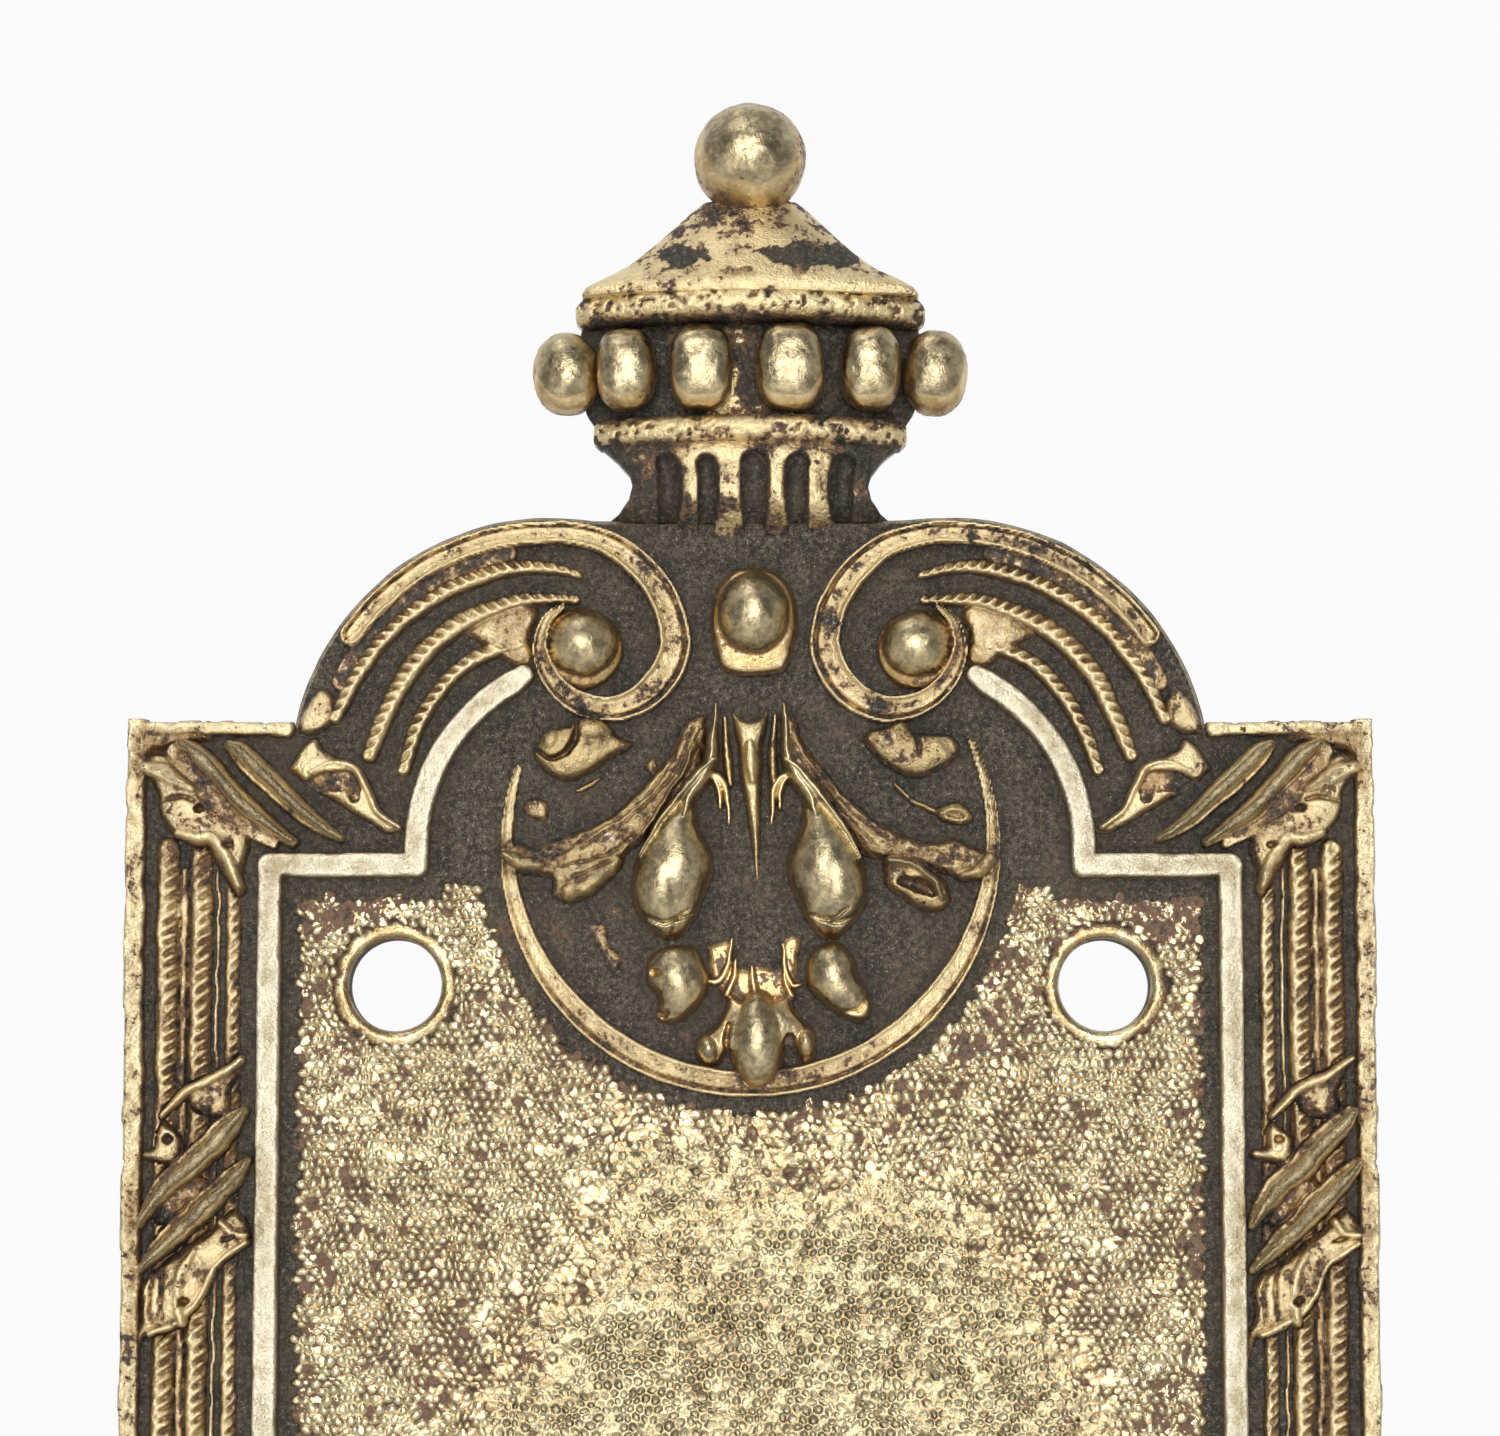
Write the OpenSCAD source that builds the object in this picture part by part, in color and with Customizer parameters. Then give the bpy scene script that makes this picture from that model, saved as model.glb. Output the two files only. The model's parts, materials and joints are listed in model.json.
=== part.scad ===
// Ornate cast door push plate: a flat plate with two matching finial ends and raised ornament.
// X is the width, Z the height on the door, and the front faces -Y. The back lies on y = 0.
// The origin is the centre of the back. The lower end is the upper end turned half round about Y.

/* [Plate] */
// Width across the plain sides
plate_w = 70; // [69:0.5:72]
// Height between the shoulders of the two ends
plate_h = 210; // [200:1:260]
// Thickness of the plain ground that the ornament stands on
ground_t = 2.4; // [2:0.1:3]
// Radius of each round lobe beside the neck
lobe_r = 14.7; // [14.5:0.1:14.8]
// Distance of each lobe's centre from the middle
lobe_x = 11.3; // [11.2:0.1:11.5]

/* [Screw holes] */
// Distance between the two holes of one end
hole_gap = 39.7; // [36:0.1:41]
// Distance of the holes below the shoulder line
hole_drop = 14.8; // [14:0.1:16]
// Diameter of each screw hole
hole_d = 5.2; // [4:0.1:5.4]
// Diameter of the countersink at the front face
sink_d = 6.0; // [5.8:0.1:7.4]

/* [Relief heights above the ground] */
// Stippled field panel
field_rise = 0.3; // [0.2:0.05:0.5]
// Inner fillet
fillet_rise = 1.0; // [0.6:0.1:1.4]
// Outer rim
rim_rise = 0.9; // [0.6:0.1:1.2]
// Rope reeds
reed_rise = 0.8; // [0.5:0.1:1.1]
// Ribbon ties
tie_rise = 1.5; // [1:0.1:2]
// Volute bands
volute_rise = 1.4; // [1:0.1:1.8]
// Medallion ring
ring_rise = 0.9; // [0.6:0.1:1.2]
// Leaves of the palmette
leaf_rise = 1.4; // [1:0.1:1.8]

/* [Inner fillet] */
// Width of the flat-topped fillet
fillet_w = 1.45; // [1.2:0.05:1.7]
// Distance of its straight sides from the middle
fillet_x = 26.9; // [26.6:0.1:27.2]
// Distance of its short cross pieces below the shoulder line
fillet_drop = 8.1; // [7.8:0.1:8.4]

/* [Medallion ring] */
// Outer radius
ring_r = 14.4; // [14:0.1:14.6]
// Radial width
ring_w = 1.5; // [1.2:0.1:1.8]
// Distance of its centre below the shoulder line
ring_drop = 6.7; // [6.4:0.1:7]

/* [Side ties] */
// Ties on each side between the corners
tie_count = 6; // [4:2:8]
// Distance from one tie to the next
tie_pitch = 31.4; // [26:0.1:32]

/* [Finial] */
// Radius of the ball
ball_r = 3.2; // [2.8:0.1:3.4]
// Height of the ball's centre above the shoulder line
ball_z = 32.35; // [32:0.05:32.6]
// Greatest thickness of the finial
finial_t = 5.4; // [4.8:0.1:6]

/* [Hidden] */
$fn = 64;
half_w = plate_w / 2;
shoulder = plate_h / 2;
field_edge = fillet_x - fillet_w / 2 - 0.85;
field_top = shoulder - fillet_drop - fillet_w / 2 - 0.8;
reed_edge = [27.75, 34.0];       // clear band between the fillet and the rim
rim_in = 34.1;                   // inner edge of the outer rim
lobe_drop = 2.9;                 // how far each lobe's centre lies below the shoulder line
crown_z = 11.6;                  // top of the plate between the lobes
neck_top = 16.1;
foot_band = [16.1, 17.7];
crown_band = [23.0, 24.7];
cap_top = 30.05;
ball_depth = 2.0;                // how far the ball's centre stands in front of the back
bead_z = 20.4;
core_r = 16;                     // rounding of the finial's front, about an upright axis
foot_t = finial_t - 0.6;         // thickness at the foot band
drum_t = finial_t - 2.2;         // thickness behind the beads
neck_t = 4.4;                    // thickness at the neck
flute_r = 0.75;                  // radius of the neck's flutes
steps = 6;                       // curve steps between two points of a path
ENDS = ["upper", "lower"];
SIDES = ["left", "right"];

// ---- curves ----

function at(list, i) = list[max(0, min(len(list) - 1, i))];
function blend(a, b, c, d, t) =
  0.5 * (2 * b + (c - a) * t + (2 * a - 5 * b + 4 * c - d) * t * t
         + (3 * b - a - 3 * c + d) * t * t * t);
// A smooth curve through the points of a path, or through a list of numbers
function curve(p) = [
  for (i = [0:len(p) - 2], k = [0:steps - 1])
    blend(at(p, i - 1), p[i], p[i + 1], at(p, i + 2), k / steps),
  p[len(p) - 1]
];
function unit(v) = v / norm(v);
function normal(p, i) = let (d = unit(at(p, i + 1) - at(p, i - 1))) [-d[1], d[0]];
function arc(r, from, to, n = 24) = [for (i = [0:n]) r * [cos(from + (to - from) * i / n),
                                                           sin(from + (to - from) * i / n)]];

// ---- placing ----

// Raises a flat outline in the door's plane from one depth to another, towards the front
module raise(from, to) rotate([90, 0, 0]) translate([0, 0, from]) linear_extrude(to - from) children();
// Relief that stands on the ground
module relief(rise) raise(ground_t, ground_t + rise) children();
// A strip of changing half width along a smooth path
module strip(path, half) {
  p = curve(path);
  w = curve(half);
  polygon(concat([for (i = [0:len(p) - 1]) p[i] + w[i] * normal(p, i)],
                 [for (i = [len(p) - 1:-1:0]) p[i] - w[i] * normal(p, i)]));
}
module even_strip(path, width) strip(path, [for (q = path) width / 2]);
// A flat outline through the points of a path, with smooth turns between them
module leaf(points) polygon(curve(concat(points, [points[0]])));
// Puts an ornament of the upper end at the shoulder line, or turns it onto the lower end
module end_part(which) {
  rotate([0, which == "upper" ? 0 : 180, 0]) translate([0, 0, shoulder]) children();
}
// The left ornament of the upper end is its right one in a mirror. Turning onto the lower end
// swaps left and right again.
module side_part(which, side) {
  on_left = (side == "left") == (which == "upper");
  end_part(which) mirror([on_left ? 0 : 1, 0, 0]) children();
}
// What lies in front of the ground
module above_ground() intersection() {
  children();
  translate([-60, -30 - ground_t, -200]) cube([120, 30, 400]);
}
// An egg about an upright axis, its front reaching the stated rise above the ground
module egg(r, h, x, z, rise) {
  above_ground() translate([x, r - ground_t - rise, z]) rotate_extrude()
    polygon([for (a = [-90:9:90]) [r * cos(a), h * sin(a)]]);
}
// Screw holes through the whole plate, with their countersinks
module screw_holes(front) {
  for (x = [-1, 1], z = [-1, 1]) translate([x * hole_gap / 2, 0, z * (shoulder - hole_drop)])
    rotate([90, 0, 0]) {
      translate([0, 0, -1]) cylinder(d = hole_d, h = front + 2);
      translate([0, 0, front - (sink_d - hole_d) / 2])
        cylinder(d1 = hole_d, d2 = sink_d + 0.2, h = (sink_d - hole_d) / 2 + 0.1);
    }
}

// ---- plate ----

module end_outline() {
  intersection() {
    union() {
      for (s = [-1, 1]) translate([s * lobe_x, -lobe_drop]) circle(lobe_r, $fn = 180);
      translate([-lobe_x, 0]) square([2 * lobe_x, crown_z]);
    }
    translate([-half_w, 0]) square([plate_w, crown_z + lobe_r]);
  }
}
module back_plate() color("darkkhaki") difference() {
  raise(0, ground_t) union() {
    square([plate_w, plate_h], center = true);
    for (a = [0, 180]) rotate(a) translate([0, shoulder - 0.001]) end_outline();
  }
  screw_holes(ground_t + field_rise);
}
module field_panel() color("khaki") difference() {
  relief(field_rise) difference() {
    square([2 * field_edge, 2 * field_top], center = true);
    for (s = [-1, 1]) translate([0, s * (shoulder - ring_drop)]) circle(ring_r + 0.5, $fn = 120);
  }
  screw_holes(ground_t + field_rise);
}
// Rim along one side and its two shoulders
module rim(side) color("goldenrod") relief(rim_rise) mirror([side == "left" ? 1 : 0, 0]) {
  translate([26, -shoulder]) difference() {
    square([half_w - 26, plate_h]);
    translate([-1, half_w - rim_in]) square([rim_in - 25, plate_h - 2 * (half_w - rim_in)]);
  }
}
// Fillet of one side: a quarter arc, a short cross piece and the long straight, at both ends
module inner_fillet(side) {
  cross_z = shoulder - fillet_drop;
  arc_r = 10.7;
  arc_x = 8;
  rise_z = cross_z + 1;
  color("palegoldenrod") relief(fillet_rise) mirror([side == "left" ? 1 : 0, 0]) {
    translate([fillet_x - fillet_w / 2, -cross_z - fillet_w / 2])
      square([fillet_w, 2 * cross_z + fillet_w]);
    for (s = [-1, 1]) scale([1, s]) {
      translate([arc_x + arc_r - fillet_w / 2, cross_z - fillet_w / 2])
        square([fillet_x - arc_x - arc_r + fillet_w, fillet_w]);
      translate([arc_x, rise_z]) polygon(concat(
        [[arc_r - fillet_w / 2, -1]], arc(arc_r - fillet_w / 2, 0, 60),
        arc(arc_r + fillet_w / 2, 60, 0), [[arc_r + fillet_w / 2, -1]]));
    }
  }
}
// Outline that one tie hides, about the tie's centre
module tie_patch() polygon([[3.4, 8.8], [-3.4, 3], [-3.4, -9.6], [3.4, -3.4]]);
module at_ties(side) {
  x = side == "left" ? -30.9 : 30.9;
  for (i = [0:tie_count - 1]) {
    z = (i - (tie_count - 1) / 2) * tie_pitch;
    translate([x, z]) rotate(z > 0 ? 0 : 180) children();
  }
}
// Three ropes and the thin fillets between them, broken where the ties cross
module side_reeds(side) {
  s = side == "left" ? -1 : 1;
  top = shoulder - 10.5;
  color("darkgoldenrod") difference() {
    union() {
      for (r = [[29.0, 0.38], [30.8, 0.58], [32.7, 0.55]])
        above_ground() translate([s * r[0], r[1] - ground_t - reed_rise, -top])
          cylinder(r = r[1], h = 2 * top, $fn = 32);
      for (x = [29.8, 31.75, 33.7]) relief(0.35)
        translate([s * x - 0.2, -top]) square([0.4, 2 * top]);
    }
    raise(ground_t - 0.1, ground_t + 2) at_ties(side) tie_patch();
  }
}
// One ribbon tie: a torn leaf end, two round ribs and the lower fold
module tie() {
  leaf([[3.1, 7.7], [0.5, 6.1], [-2, 4.5], [-3.1, 2.4], [-2.8, 1.9], [-0.8, 2.9], [1.0, 4.9], [2.2, 6.1]]);
  even_strip([[2.9, 3.9], [0.5, 2.1], [-1.4, 0.2], [-3.0, -1.8]], 1.1);
  even_strip([[3.0, 1.1], [1.0, -0.4], [-1, -2.3], [-2.9, -4.4]], 1.0);
  leaf([[3.1, -0.8], [1.3, -2.0], [-0.8, -3.9], [-3.0, -6.0], [-3.1, -8.7], [-2, -7.7],
        [-0.2, -7.0], [0.7, -5.4], [1.8, -3.9], [3.0, -2.9]]);
}
module side_ties(side) color("gold") relief(tie_rise) at_ties(side) tie();

// ---- finial ----

// Front of the finial: round about an upright axis, flat at the back
module turned(front) intersection() {
  children();
  translate([0, core_r - front, -5]) cylinder(r = core_r, h = 60, $fn = 120);
}
module ball() translate([0, -ball_depth, ball_z]) rotate([90, 0, 0]) sphere(ball_r);
module finial_ball(which) color("tan") end_part(which) intersection() {
  ball();
  translate([-10, -10, ball_z - 10]) cube([20, 10, 20]);
}
module finial_cap(which) color("goldenrod") end_part(which) difference() {
  turned(finial_t) raise(0, finial_t) polygon(concat(
    [[-9.3, crown_band[1]]],
    curve([[-9.3, 24.9], [-7, 25.9], [-5, 27.8], [-3, 29.8], [-2.65, cap_top]]),
    curve([[2.65, cap_top], [3, 29.8], [5, 27.8], [7, 25.9], [9.3, 24.9]]),
    [[9.3, crown_band[1]]]));
  ball();
  // the cap leans back towards the ball
  translate([0, -2.8, cap_top]) rotate([-24, 0, 0]) translate([-15, -15, -20]) cube([30, 15, 40]);
}
module band(zs, half, front) turned(front) raise(0, front)
  translate([-half, zs[0]]) square([2 * half, zs[1] - zs[0]]);
module crown_band(which) color("gold") end_part(which) band(crown_band, 9.9, finial_t);
module foot_band(which) color("gold") end_part(which) band(foot_band, 9, foot_t);
module bead_drum(which) color("dimgray") end_part(which)
  band([foot_band[1], crown_band[0]], 9.2, drum_t);
module bead_shape(x, z, r, h, front) translate([x, r - front, z]) rotate_extrude()
  polygon([for (a = [-90:9:90]) [r * cos(a), h * sin(a)]]);
module beads(which) color("tan") end_part(which) difference() {
  intersection() {
    union() {
      for (s = [-1, 1]) {
        bead_shape(s * 2.6, bead_z, 1.9, 2.5, finial_t);
        bead_shape(s * 7.1, bead_z, 1.75, 2.45, finial_t - 0.9);
        bead_shape(s * 10.6, bead_z, 1.7, 2.4, finial_t - 1.6);
      }
    }
    translate([-20, -10, foot_band[1]]) cube([40, 10, crown_band[0] - foot_band[1]]);
  }
  band([foot_band[1], crown_band[0]], 9.2, drum_t);
}
// Neck with dark flutes cut between gold ribs
module fluted_neck(which) {
  side = [[6.6, crown_z], [6.6, 13], [6.7, 14], [7.2, 15], [8.2, neck_top]];
  color("peru") end_part(which) difference() {
    turned(neck_t) raise(0, neck_t) polygon(concat(
      [for (q = curve(side)) [-q[0], q[1]]], [for (i = [len(side) - 1:-1:0]) side[i]]));
    for (x = [-5, -2.4, 0.1, 2.6, 5]) translate([x, -neck_t - 0.5 + abs(x) * 0.12, crown_z - 1])
      cylinder(r = flute_r, h = neck_t, $fn = 24);
  }
}

// ---- scrolls ----

// Round-ended scroll band of the right side, from the lobe's foot over its top to the eye
module volute_band() {
  lobe_c = [lobe_x, -lobe_drop];
  strip(concat(
      [for (a = [13:12:85]) lobe_c + (lobe_r - 1.1) * [cos(a), sin(a)]],
      [[9.2, 10.5], [6.9, 9.4], [5.3, 7.4], [4.3, 4.6], [4.9, 2.4], [6.7, 1.0], [9.2, 1.0],
       [11.0, 2.7], [11.5, 4.5]]),
    [0.5, 0.5, 0.5, 0.5, 0.5, 0.5, 0.5, 0.55, 0.7, 0.85, 0.85, 0.75, 0.75, 0.75, 0.65, 0.5, 0.4]);
}
module volute(which, side) color("goldenrod")
  side_part(which, side) mirror([1, 0, 0]) relief(volute_rise) volute_band();
module volute_eyes(which) color("tan") end_part(which)
  for (s = [-1, 1]) egg(2.1, 2.1, s * 9.3, 4.2, 2.0);
// Three ropes that follow the lobe, from its foot to the scroll
module lobe_reeds(which, side) color("darkgoldenrod") side_part(which, side) relief(reed_rise) {
  even_strip([[-23.0, 0.1], [-21.8, 2.6], [-19.8, 5.1], [-17.4, 7.0], [-14.5, 8.4], [-11.6, 8.9]], 1.1);
  even_strip([[-21.3, -1.7], [-20.1, 0.8], [-18.8, 3.0], [-16.9, 4.9], [-14.5, 6.2], [-11.8, 6.9]], 1.2);
  even_strip([[-19.5, -2.5], [-18.6, -0.6], [-17.5, 1.1], [-16.0, 2.7], [-14.2, 3.9]], 0.9);
}
module corner_tie(which, side) color("gold") side_part(which, side) relief(tie_rise) {
  strip([[-33.3, -1.7], [-32.6, -3.2], [-32.0, -4.9], [-30.9, -6.4], [-29.7, -7.8], [-29.1, -9.6]],
        [0.4, 0.7, 0.9, 0.9, 0.8, 0.4]);
  even_strip([[-31.3, -1.4], [-30.0, -2.6], [-28.6, -4.2], [-27.1, -5.6], [-25.2, -6.8]], 1.2);
  even_strip([[-29.2, -1.2], [-27.8, -2.3], [-26.2, -3.8], [-24.6, -5.2], [-22.9, -6.4]], 1.1);
  leaf([[-26.2, -2.2], [-25.4, -1.2], [-24.0, -1.0], [-22.5, -1.7], [-21.2, -3.2], [-20.2, -5.0],
        [-20.3, -5.9], [-21.3, -5.6], [-22.6, -4.0], [-24.2, -3.2]]);
}

// ---- medallion ----

module ring_shape() translate([0, -ring_drop]) polygon(concat(
  arc(ring_r, 153, 383, 60), arc(ring_r - ring_w, 383, 153, 60)));
module husk_foot(s) polygon(curve([[s * 2.2, -2.6], [s * 3.1, -4.2], [s * 5.6, -6.2],
  [s * 6.6, -8.2], [s * 6.1, -9.9], [s * 4.6, -12.3], [s * 3.1, -10.6], [s * 2.1, -8.4],
  [s * 2.2, -6.2], [s * 1.7, -4.0]]));
module medallion_ring(which) color("goldenrod") end_part(which) relief(ring_rise) difference() {
  ring_shape();
  base_leaf_shape();
}
// Two leaves that spring from the centre and end on the ring
module frond(which, side) color("goldenrod") side_part(which, side) relief(leaf_rise) difference() {
  union() {
    strip([[-3.1, 0.1], [-4.3, -2.2], [-6.0, -4.3], [-8.4, -6.2], [-10.8, -7.4], [-12.6, -7.5]],
          [0.45, 0.8, 1.1, 1.3, 1.2, 0.4]);
    leaf([[-7.4, -7.2], [-9.2, -7.6], [-11.0, -8.5], [-11.1, -9.9], [-9.7, -10.2], [-7.7, -9.0]]);
    strip([[-7.6, -3.3], [-9.4, -4.2], [-11.0, -4.5], [-12.2, -4.4]], [0.35, 0.45, 0.6, 0.35]);
  }
  ring_shape();
  husk_foot(-1);
}
module curl_leaves(which) color("gold") end_part(which) relief(leaf_rise)
  for (s = [-1, 1]) scale([s, 1])
    leaf([[6.2, -0.9], [7.4, -0.4], [9.2, -0.3], [11.2, -0.6], [12.1, -1.7], [11.2, -2.9], [9.4, -3.1],
          [7.8, -2.5]]);
module centre_dart(which) color("palegoldenrod") end_part(which) relief(leaf_rise)
  leaf([[-1, 0.9], [0, 0.2], [1, 0.9], [0.75, -1.6], [0.45, -5], [0.1, -9], [-0.1, -9], [-0.45, -5],
        [-0.75, -1.6]]);
// Hanging husks: drop shapes turned about their own leaning axis
module husk_drops(which) color("tan") end_part(which)
  for (s = [-1, 1]) above_ground() translate([s * 4.55, 2.2 - ground_t - 2.3, -12.2])
    rotate([0, -s * 13.5, 0]) rotate_extrude() polygon([for (q = curve(
      [[0, 0], [0.8, 1.2], [1.7, 2.7], [2.2, 4.4], [1.95, 6.2], [1.0, 8.2], [0.4, 9.6], [0, 9.8]]))
      [max(0, q[0]), q[1]]]);
module buds(which) color("tan") end_part(which) {
  egg(1.75, 2.2, -3.9, -14.8, 1.7);
  translate([5.1, 0, -14.7]) rotate([0, 38, 0]) egg(1.55, 2.3, 0, 0, 1.7);
}
module base_leaf_shape() {
  leaf([[-1.1, -15.2], [-1.6, -17.4], [-1.3, -19.6], [0, -20.7], [1.3, -19.6], [1.6, -17.4], [1.1, -15.2],
        [0, -14.6]]);
  for (s = [-1, 1]) translate([s * 2.6, -18.5]) circle(0.95);
}
module base_leaf(which) color("gold") end_part(which) relief(leaf_rise) base_leaf_shape();
module cabochon(which) color("tan") end_part(which) egg(2.4, 3.1, 0.1, 5.8, 2.2);

// ---- assembly ----

back_plate();
field_panel();
for (side = SIDES) {
  rim(side);
  inner_fillet(side);
  side_reeds(side);
  side_ties(side);
}
for (which = ENDS) {
  finial_ball(which);
  finial_cap(which);
  crown_band(which);
  bead_drum(which);
  beads(which);
  foot_band(which);
  fluted_neck(which);
  cabochon(which);
  volute_eyes(which);
  medallion_ring(which);
  curl_leaves(which);
  centre_dart(which);
  husk_drops(which);
  buds(which);
  base_leaf(which);
  for (side = SIDES) {
    volute(which, side);
    lobe_reeds(which, side);
    corner_tie(which, side);
    frond(which, side);
  }
}
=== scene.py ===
"""Looks of an ornate cast brass door push plate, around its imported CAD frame.

Sizes are in millimetres until a mesh is made. A place on the plate is (x, z), across and up, and its
height is how far it stands out in front of the plain ground. The front faces -Y. Ornament is drawn for
the upper end, with z counted from the shoulder line, and turned half round for the lower end.
"""
import json
import math

import bpy
import numpy as np
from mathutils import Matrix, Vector, geometry


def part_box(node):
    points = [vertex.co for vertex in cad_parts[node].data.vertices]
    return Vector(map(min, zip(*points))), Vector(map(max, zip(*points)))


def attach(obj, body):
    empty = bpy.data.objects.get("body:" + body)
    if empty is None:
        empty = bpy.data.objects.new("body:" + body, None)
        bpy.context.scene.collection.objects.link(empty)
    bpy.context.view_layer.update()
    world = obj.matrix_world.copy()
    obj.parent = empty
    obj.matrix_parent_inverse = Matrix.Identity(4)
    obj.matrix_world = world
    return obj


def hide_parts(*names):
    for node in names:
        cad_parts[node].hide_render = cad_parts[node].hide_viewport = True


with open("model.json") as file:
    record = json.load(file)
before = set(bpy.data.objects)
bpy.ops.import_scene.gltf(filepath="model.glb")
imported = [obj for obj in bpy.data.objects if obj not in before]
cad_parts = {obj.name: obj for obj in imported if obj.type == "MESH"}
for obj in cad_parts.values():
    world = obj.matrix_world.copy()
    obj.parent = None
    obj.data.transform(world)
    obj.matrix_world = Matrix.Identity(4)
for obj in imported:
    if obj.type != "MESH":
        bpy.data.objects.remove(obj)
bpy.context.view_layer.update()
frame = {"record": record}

MM = 0.001                       # metres in a millimetre


def side_of(node, corner, axis):
    """One coordinate of a CAD node's box, in millimetres."""
    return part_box(node)[corner][axis] / MM


HALF_W = side_of("back_plate", 1, 0)
SHOULDER = side_of("rim_right", 1, 2)
GROUND = -side_of("back_plate", 0, 1)
TOP = side_of("upper_finial_ball", 1, 2) - SHOULDER
FIELD_X = side_of("field_panel", 1, 0)
FIELD_Z = side_of("field_panel", 1, 2)
FIELD_RISE = -side_of("field_panel", 0, 1) - GROUND
RING_LOW = side_of("upper_medallion_ring", 0, 2) - SHOULDER
RING_R = 14.4                    # outer radius of the medallion ring
RING_Z = RING_LOW + RING_R
HOLES = next(m for m in frame["record"]["mounts"] if m["name"] == "screw_pattern")["dims"]
HOLE_X = HOLES["spacing_x_mm"] / 2
HOLE_Z = HOLES["spacing_y_mm"] / 2
HOLE_R = HOLES["hole_r_mm"]
SINK_R = HOLE_R + 0.4            # slight countersink at the front
CELL = 0.1                       # spacing of the relief grids
TIE_PITCH = 31.4                 # from tie to tie, up each side
TIE_X = 30.9                     # of the ties' centres
SUNK = 0.12                      # how far relief is let into the ground

# ---------------------------------------------------------------- noise and curves


def noise(x, z, size, seed):
    """Smooth random values from -1 to 1 that change over about size millimetres."""
    table = np.random.default_rng(seed).uniform(-1, 1, (256, 256))
    fx, fz = np.asarray(x) / size, np.asarray(z) / size
    ix, iz = np.floor(fx).astype(int), np.floor(fz).astype(int)
    tx, tz = fx - ix, fz - iz
    tx, tz = tx * tx * (3 - 2 * tx), tz * tz * (3 - 2 * tz)
    at = lambda a, b: table[(ix + a) & 255, (iz + b) & 255]
    low = at(0, 0) * (1 - tx) + at(1, 0) * tx
    high = at(0, 1) * (1 - tx) + at(1, 1) * tx
    return low * (1 - tz) + high * tz


def rough(x, z, size, seed, octaves=3):
    """Noise with finer and weaker layers on top."""
    return sum(noise(x, z, size / 2 ** k, seed + k) / 2 ** k for k in range(octaves)) / 1.6


def spline(points, steps=8):
    """A smooth curve through rows of numbers."""
    p = np.array(points, float)
    p = np.vstack([2 * p[0] - p[1], p, 2 * p[-1] - p[-2]])
    t = (np.arange(steps) / steps)[:, None]
    rows = []
    for a, b, c, d in zip(p, p[1:], p[2:], p[3:]):
        rows.append(0.5 * (2 * b + (c - a) * t + (2 * a - 5 * b + 4 * c - d) * t ** 2
                           + (3 * b - a - 3 * c + d) * t ** 3))
    return np.vstack(rows + [p[-2:-1]])


def arc_rows(cx, cz, r, start, end, half, count=12):
    """Rows (x, z, half width) along an arc, in degrees."""
    a = np.radians(np.linspace(start, end, count))
    return [(cx + r * math.cos(t), cz + r * math.sin(t), half) for t in a]


def columns(*parts):
    """Arrays side by side, with a row for each point or triangle."""
    return np.stack(parts, 1)


def smooth_step(v, low, high):
    """From 0 at low to 1 at high, level at both."""
    t = np.clip((v - low) / (high - low), 0, 1)
    return t * t * (3 - 2 * t)


def between(table, fx, fz):
    """Values of a table at places between its cells."""
    fx, fz = (np.clip(f, 0, n - 1.001) for f, n in zip((fx, fz), table.shape))
    i, j = fx.astype(int), fz.astype(int)
    tx, tz = fx - i, fz - j
    return ((table[i, j] * (1 - tx) + table[i + 1, j] * tx) * (1 - tz)
            + (table[i, j + 1] * (1 - tx) + table[i + 1, j + 1] * tx) * tz)


# ---------------------------------------------------------------- strokes of relief

# Cross sections, from the left edge of a stroke to its right: (place from -1 to 1, share of the rise)
ROUND = [(u, (1 - u * u) ** 0.6) for u in np.linspace(-1, 1, 21)]
ROPE_TOP = [(u, (1 - abs(u) ** 3) ** 0.8) for u in np.linspace(-1, 1, 17)]
FLAT = [(-1, 0), (-0.93, 0.66), (-0.82, 0.95), (0, 1), (0.82, 0.95), (0.93, 0.66), (1, 0)]
RIDGE = [(-1, 0), (-0.5, 0.62), (0, 1), (0.5, 0.62), (1, 0)]
SCROLL = [(-1, 0), (-0.94, 0.7), (-0.86, 1.0), (-0.76, 0.98), (-0.62, 0.74), (0.0, 0.62), (0.38, 0.64),
          (0.52, 0.3), (0.66, 0.3), (0.78, 0.72), (0.9, 0.7), (1, 0)]
RING = [(-1, 0), (-0.9, 0.8), (-0.76, 1.0), (-0.62, 0.76), (-0.1, 0.7), (0.36, 0.66), (0.48, 0.3),
        (0.6, 0.3), (0.74, 0.68), (0.9, 0.62), (1, 0)]
RIB = [(-1, 0), (-0.9, 0.5), (-0.74, 0.68), (-0.6, 0.8), (-0.3, 0.97), (0, 1), (0.3, 0.9), (0.5, 0.66),
       (0.66, 0.56), (0.82, 0.58), (0.93, 0.45), (1, 0)]


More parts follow.
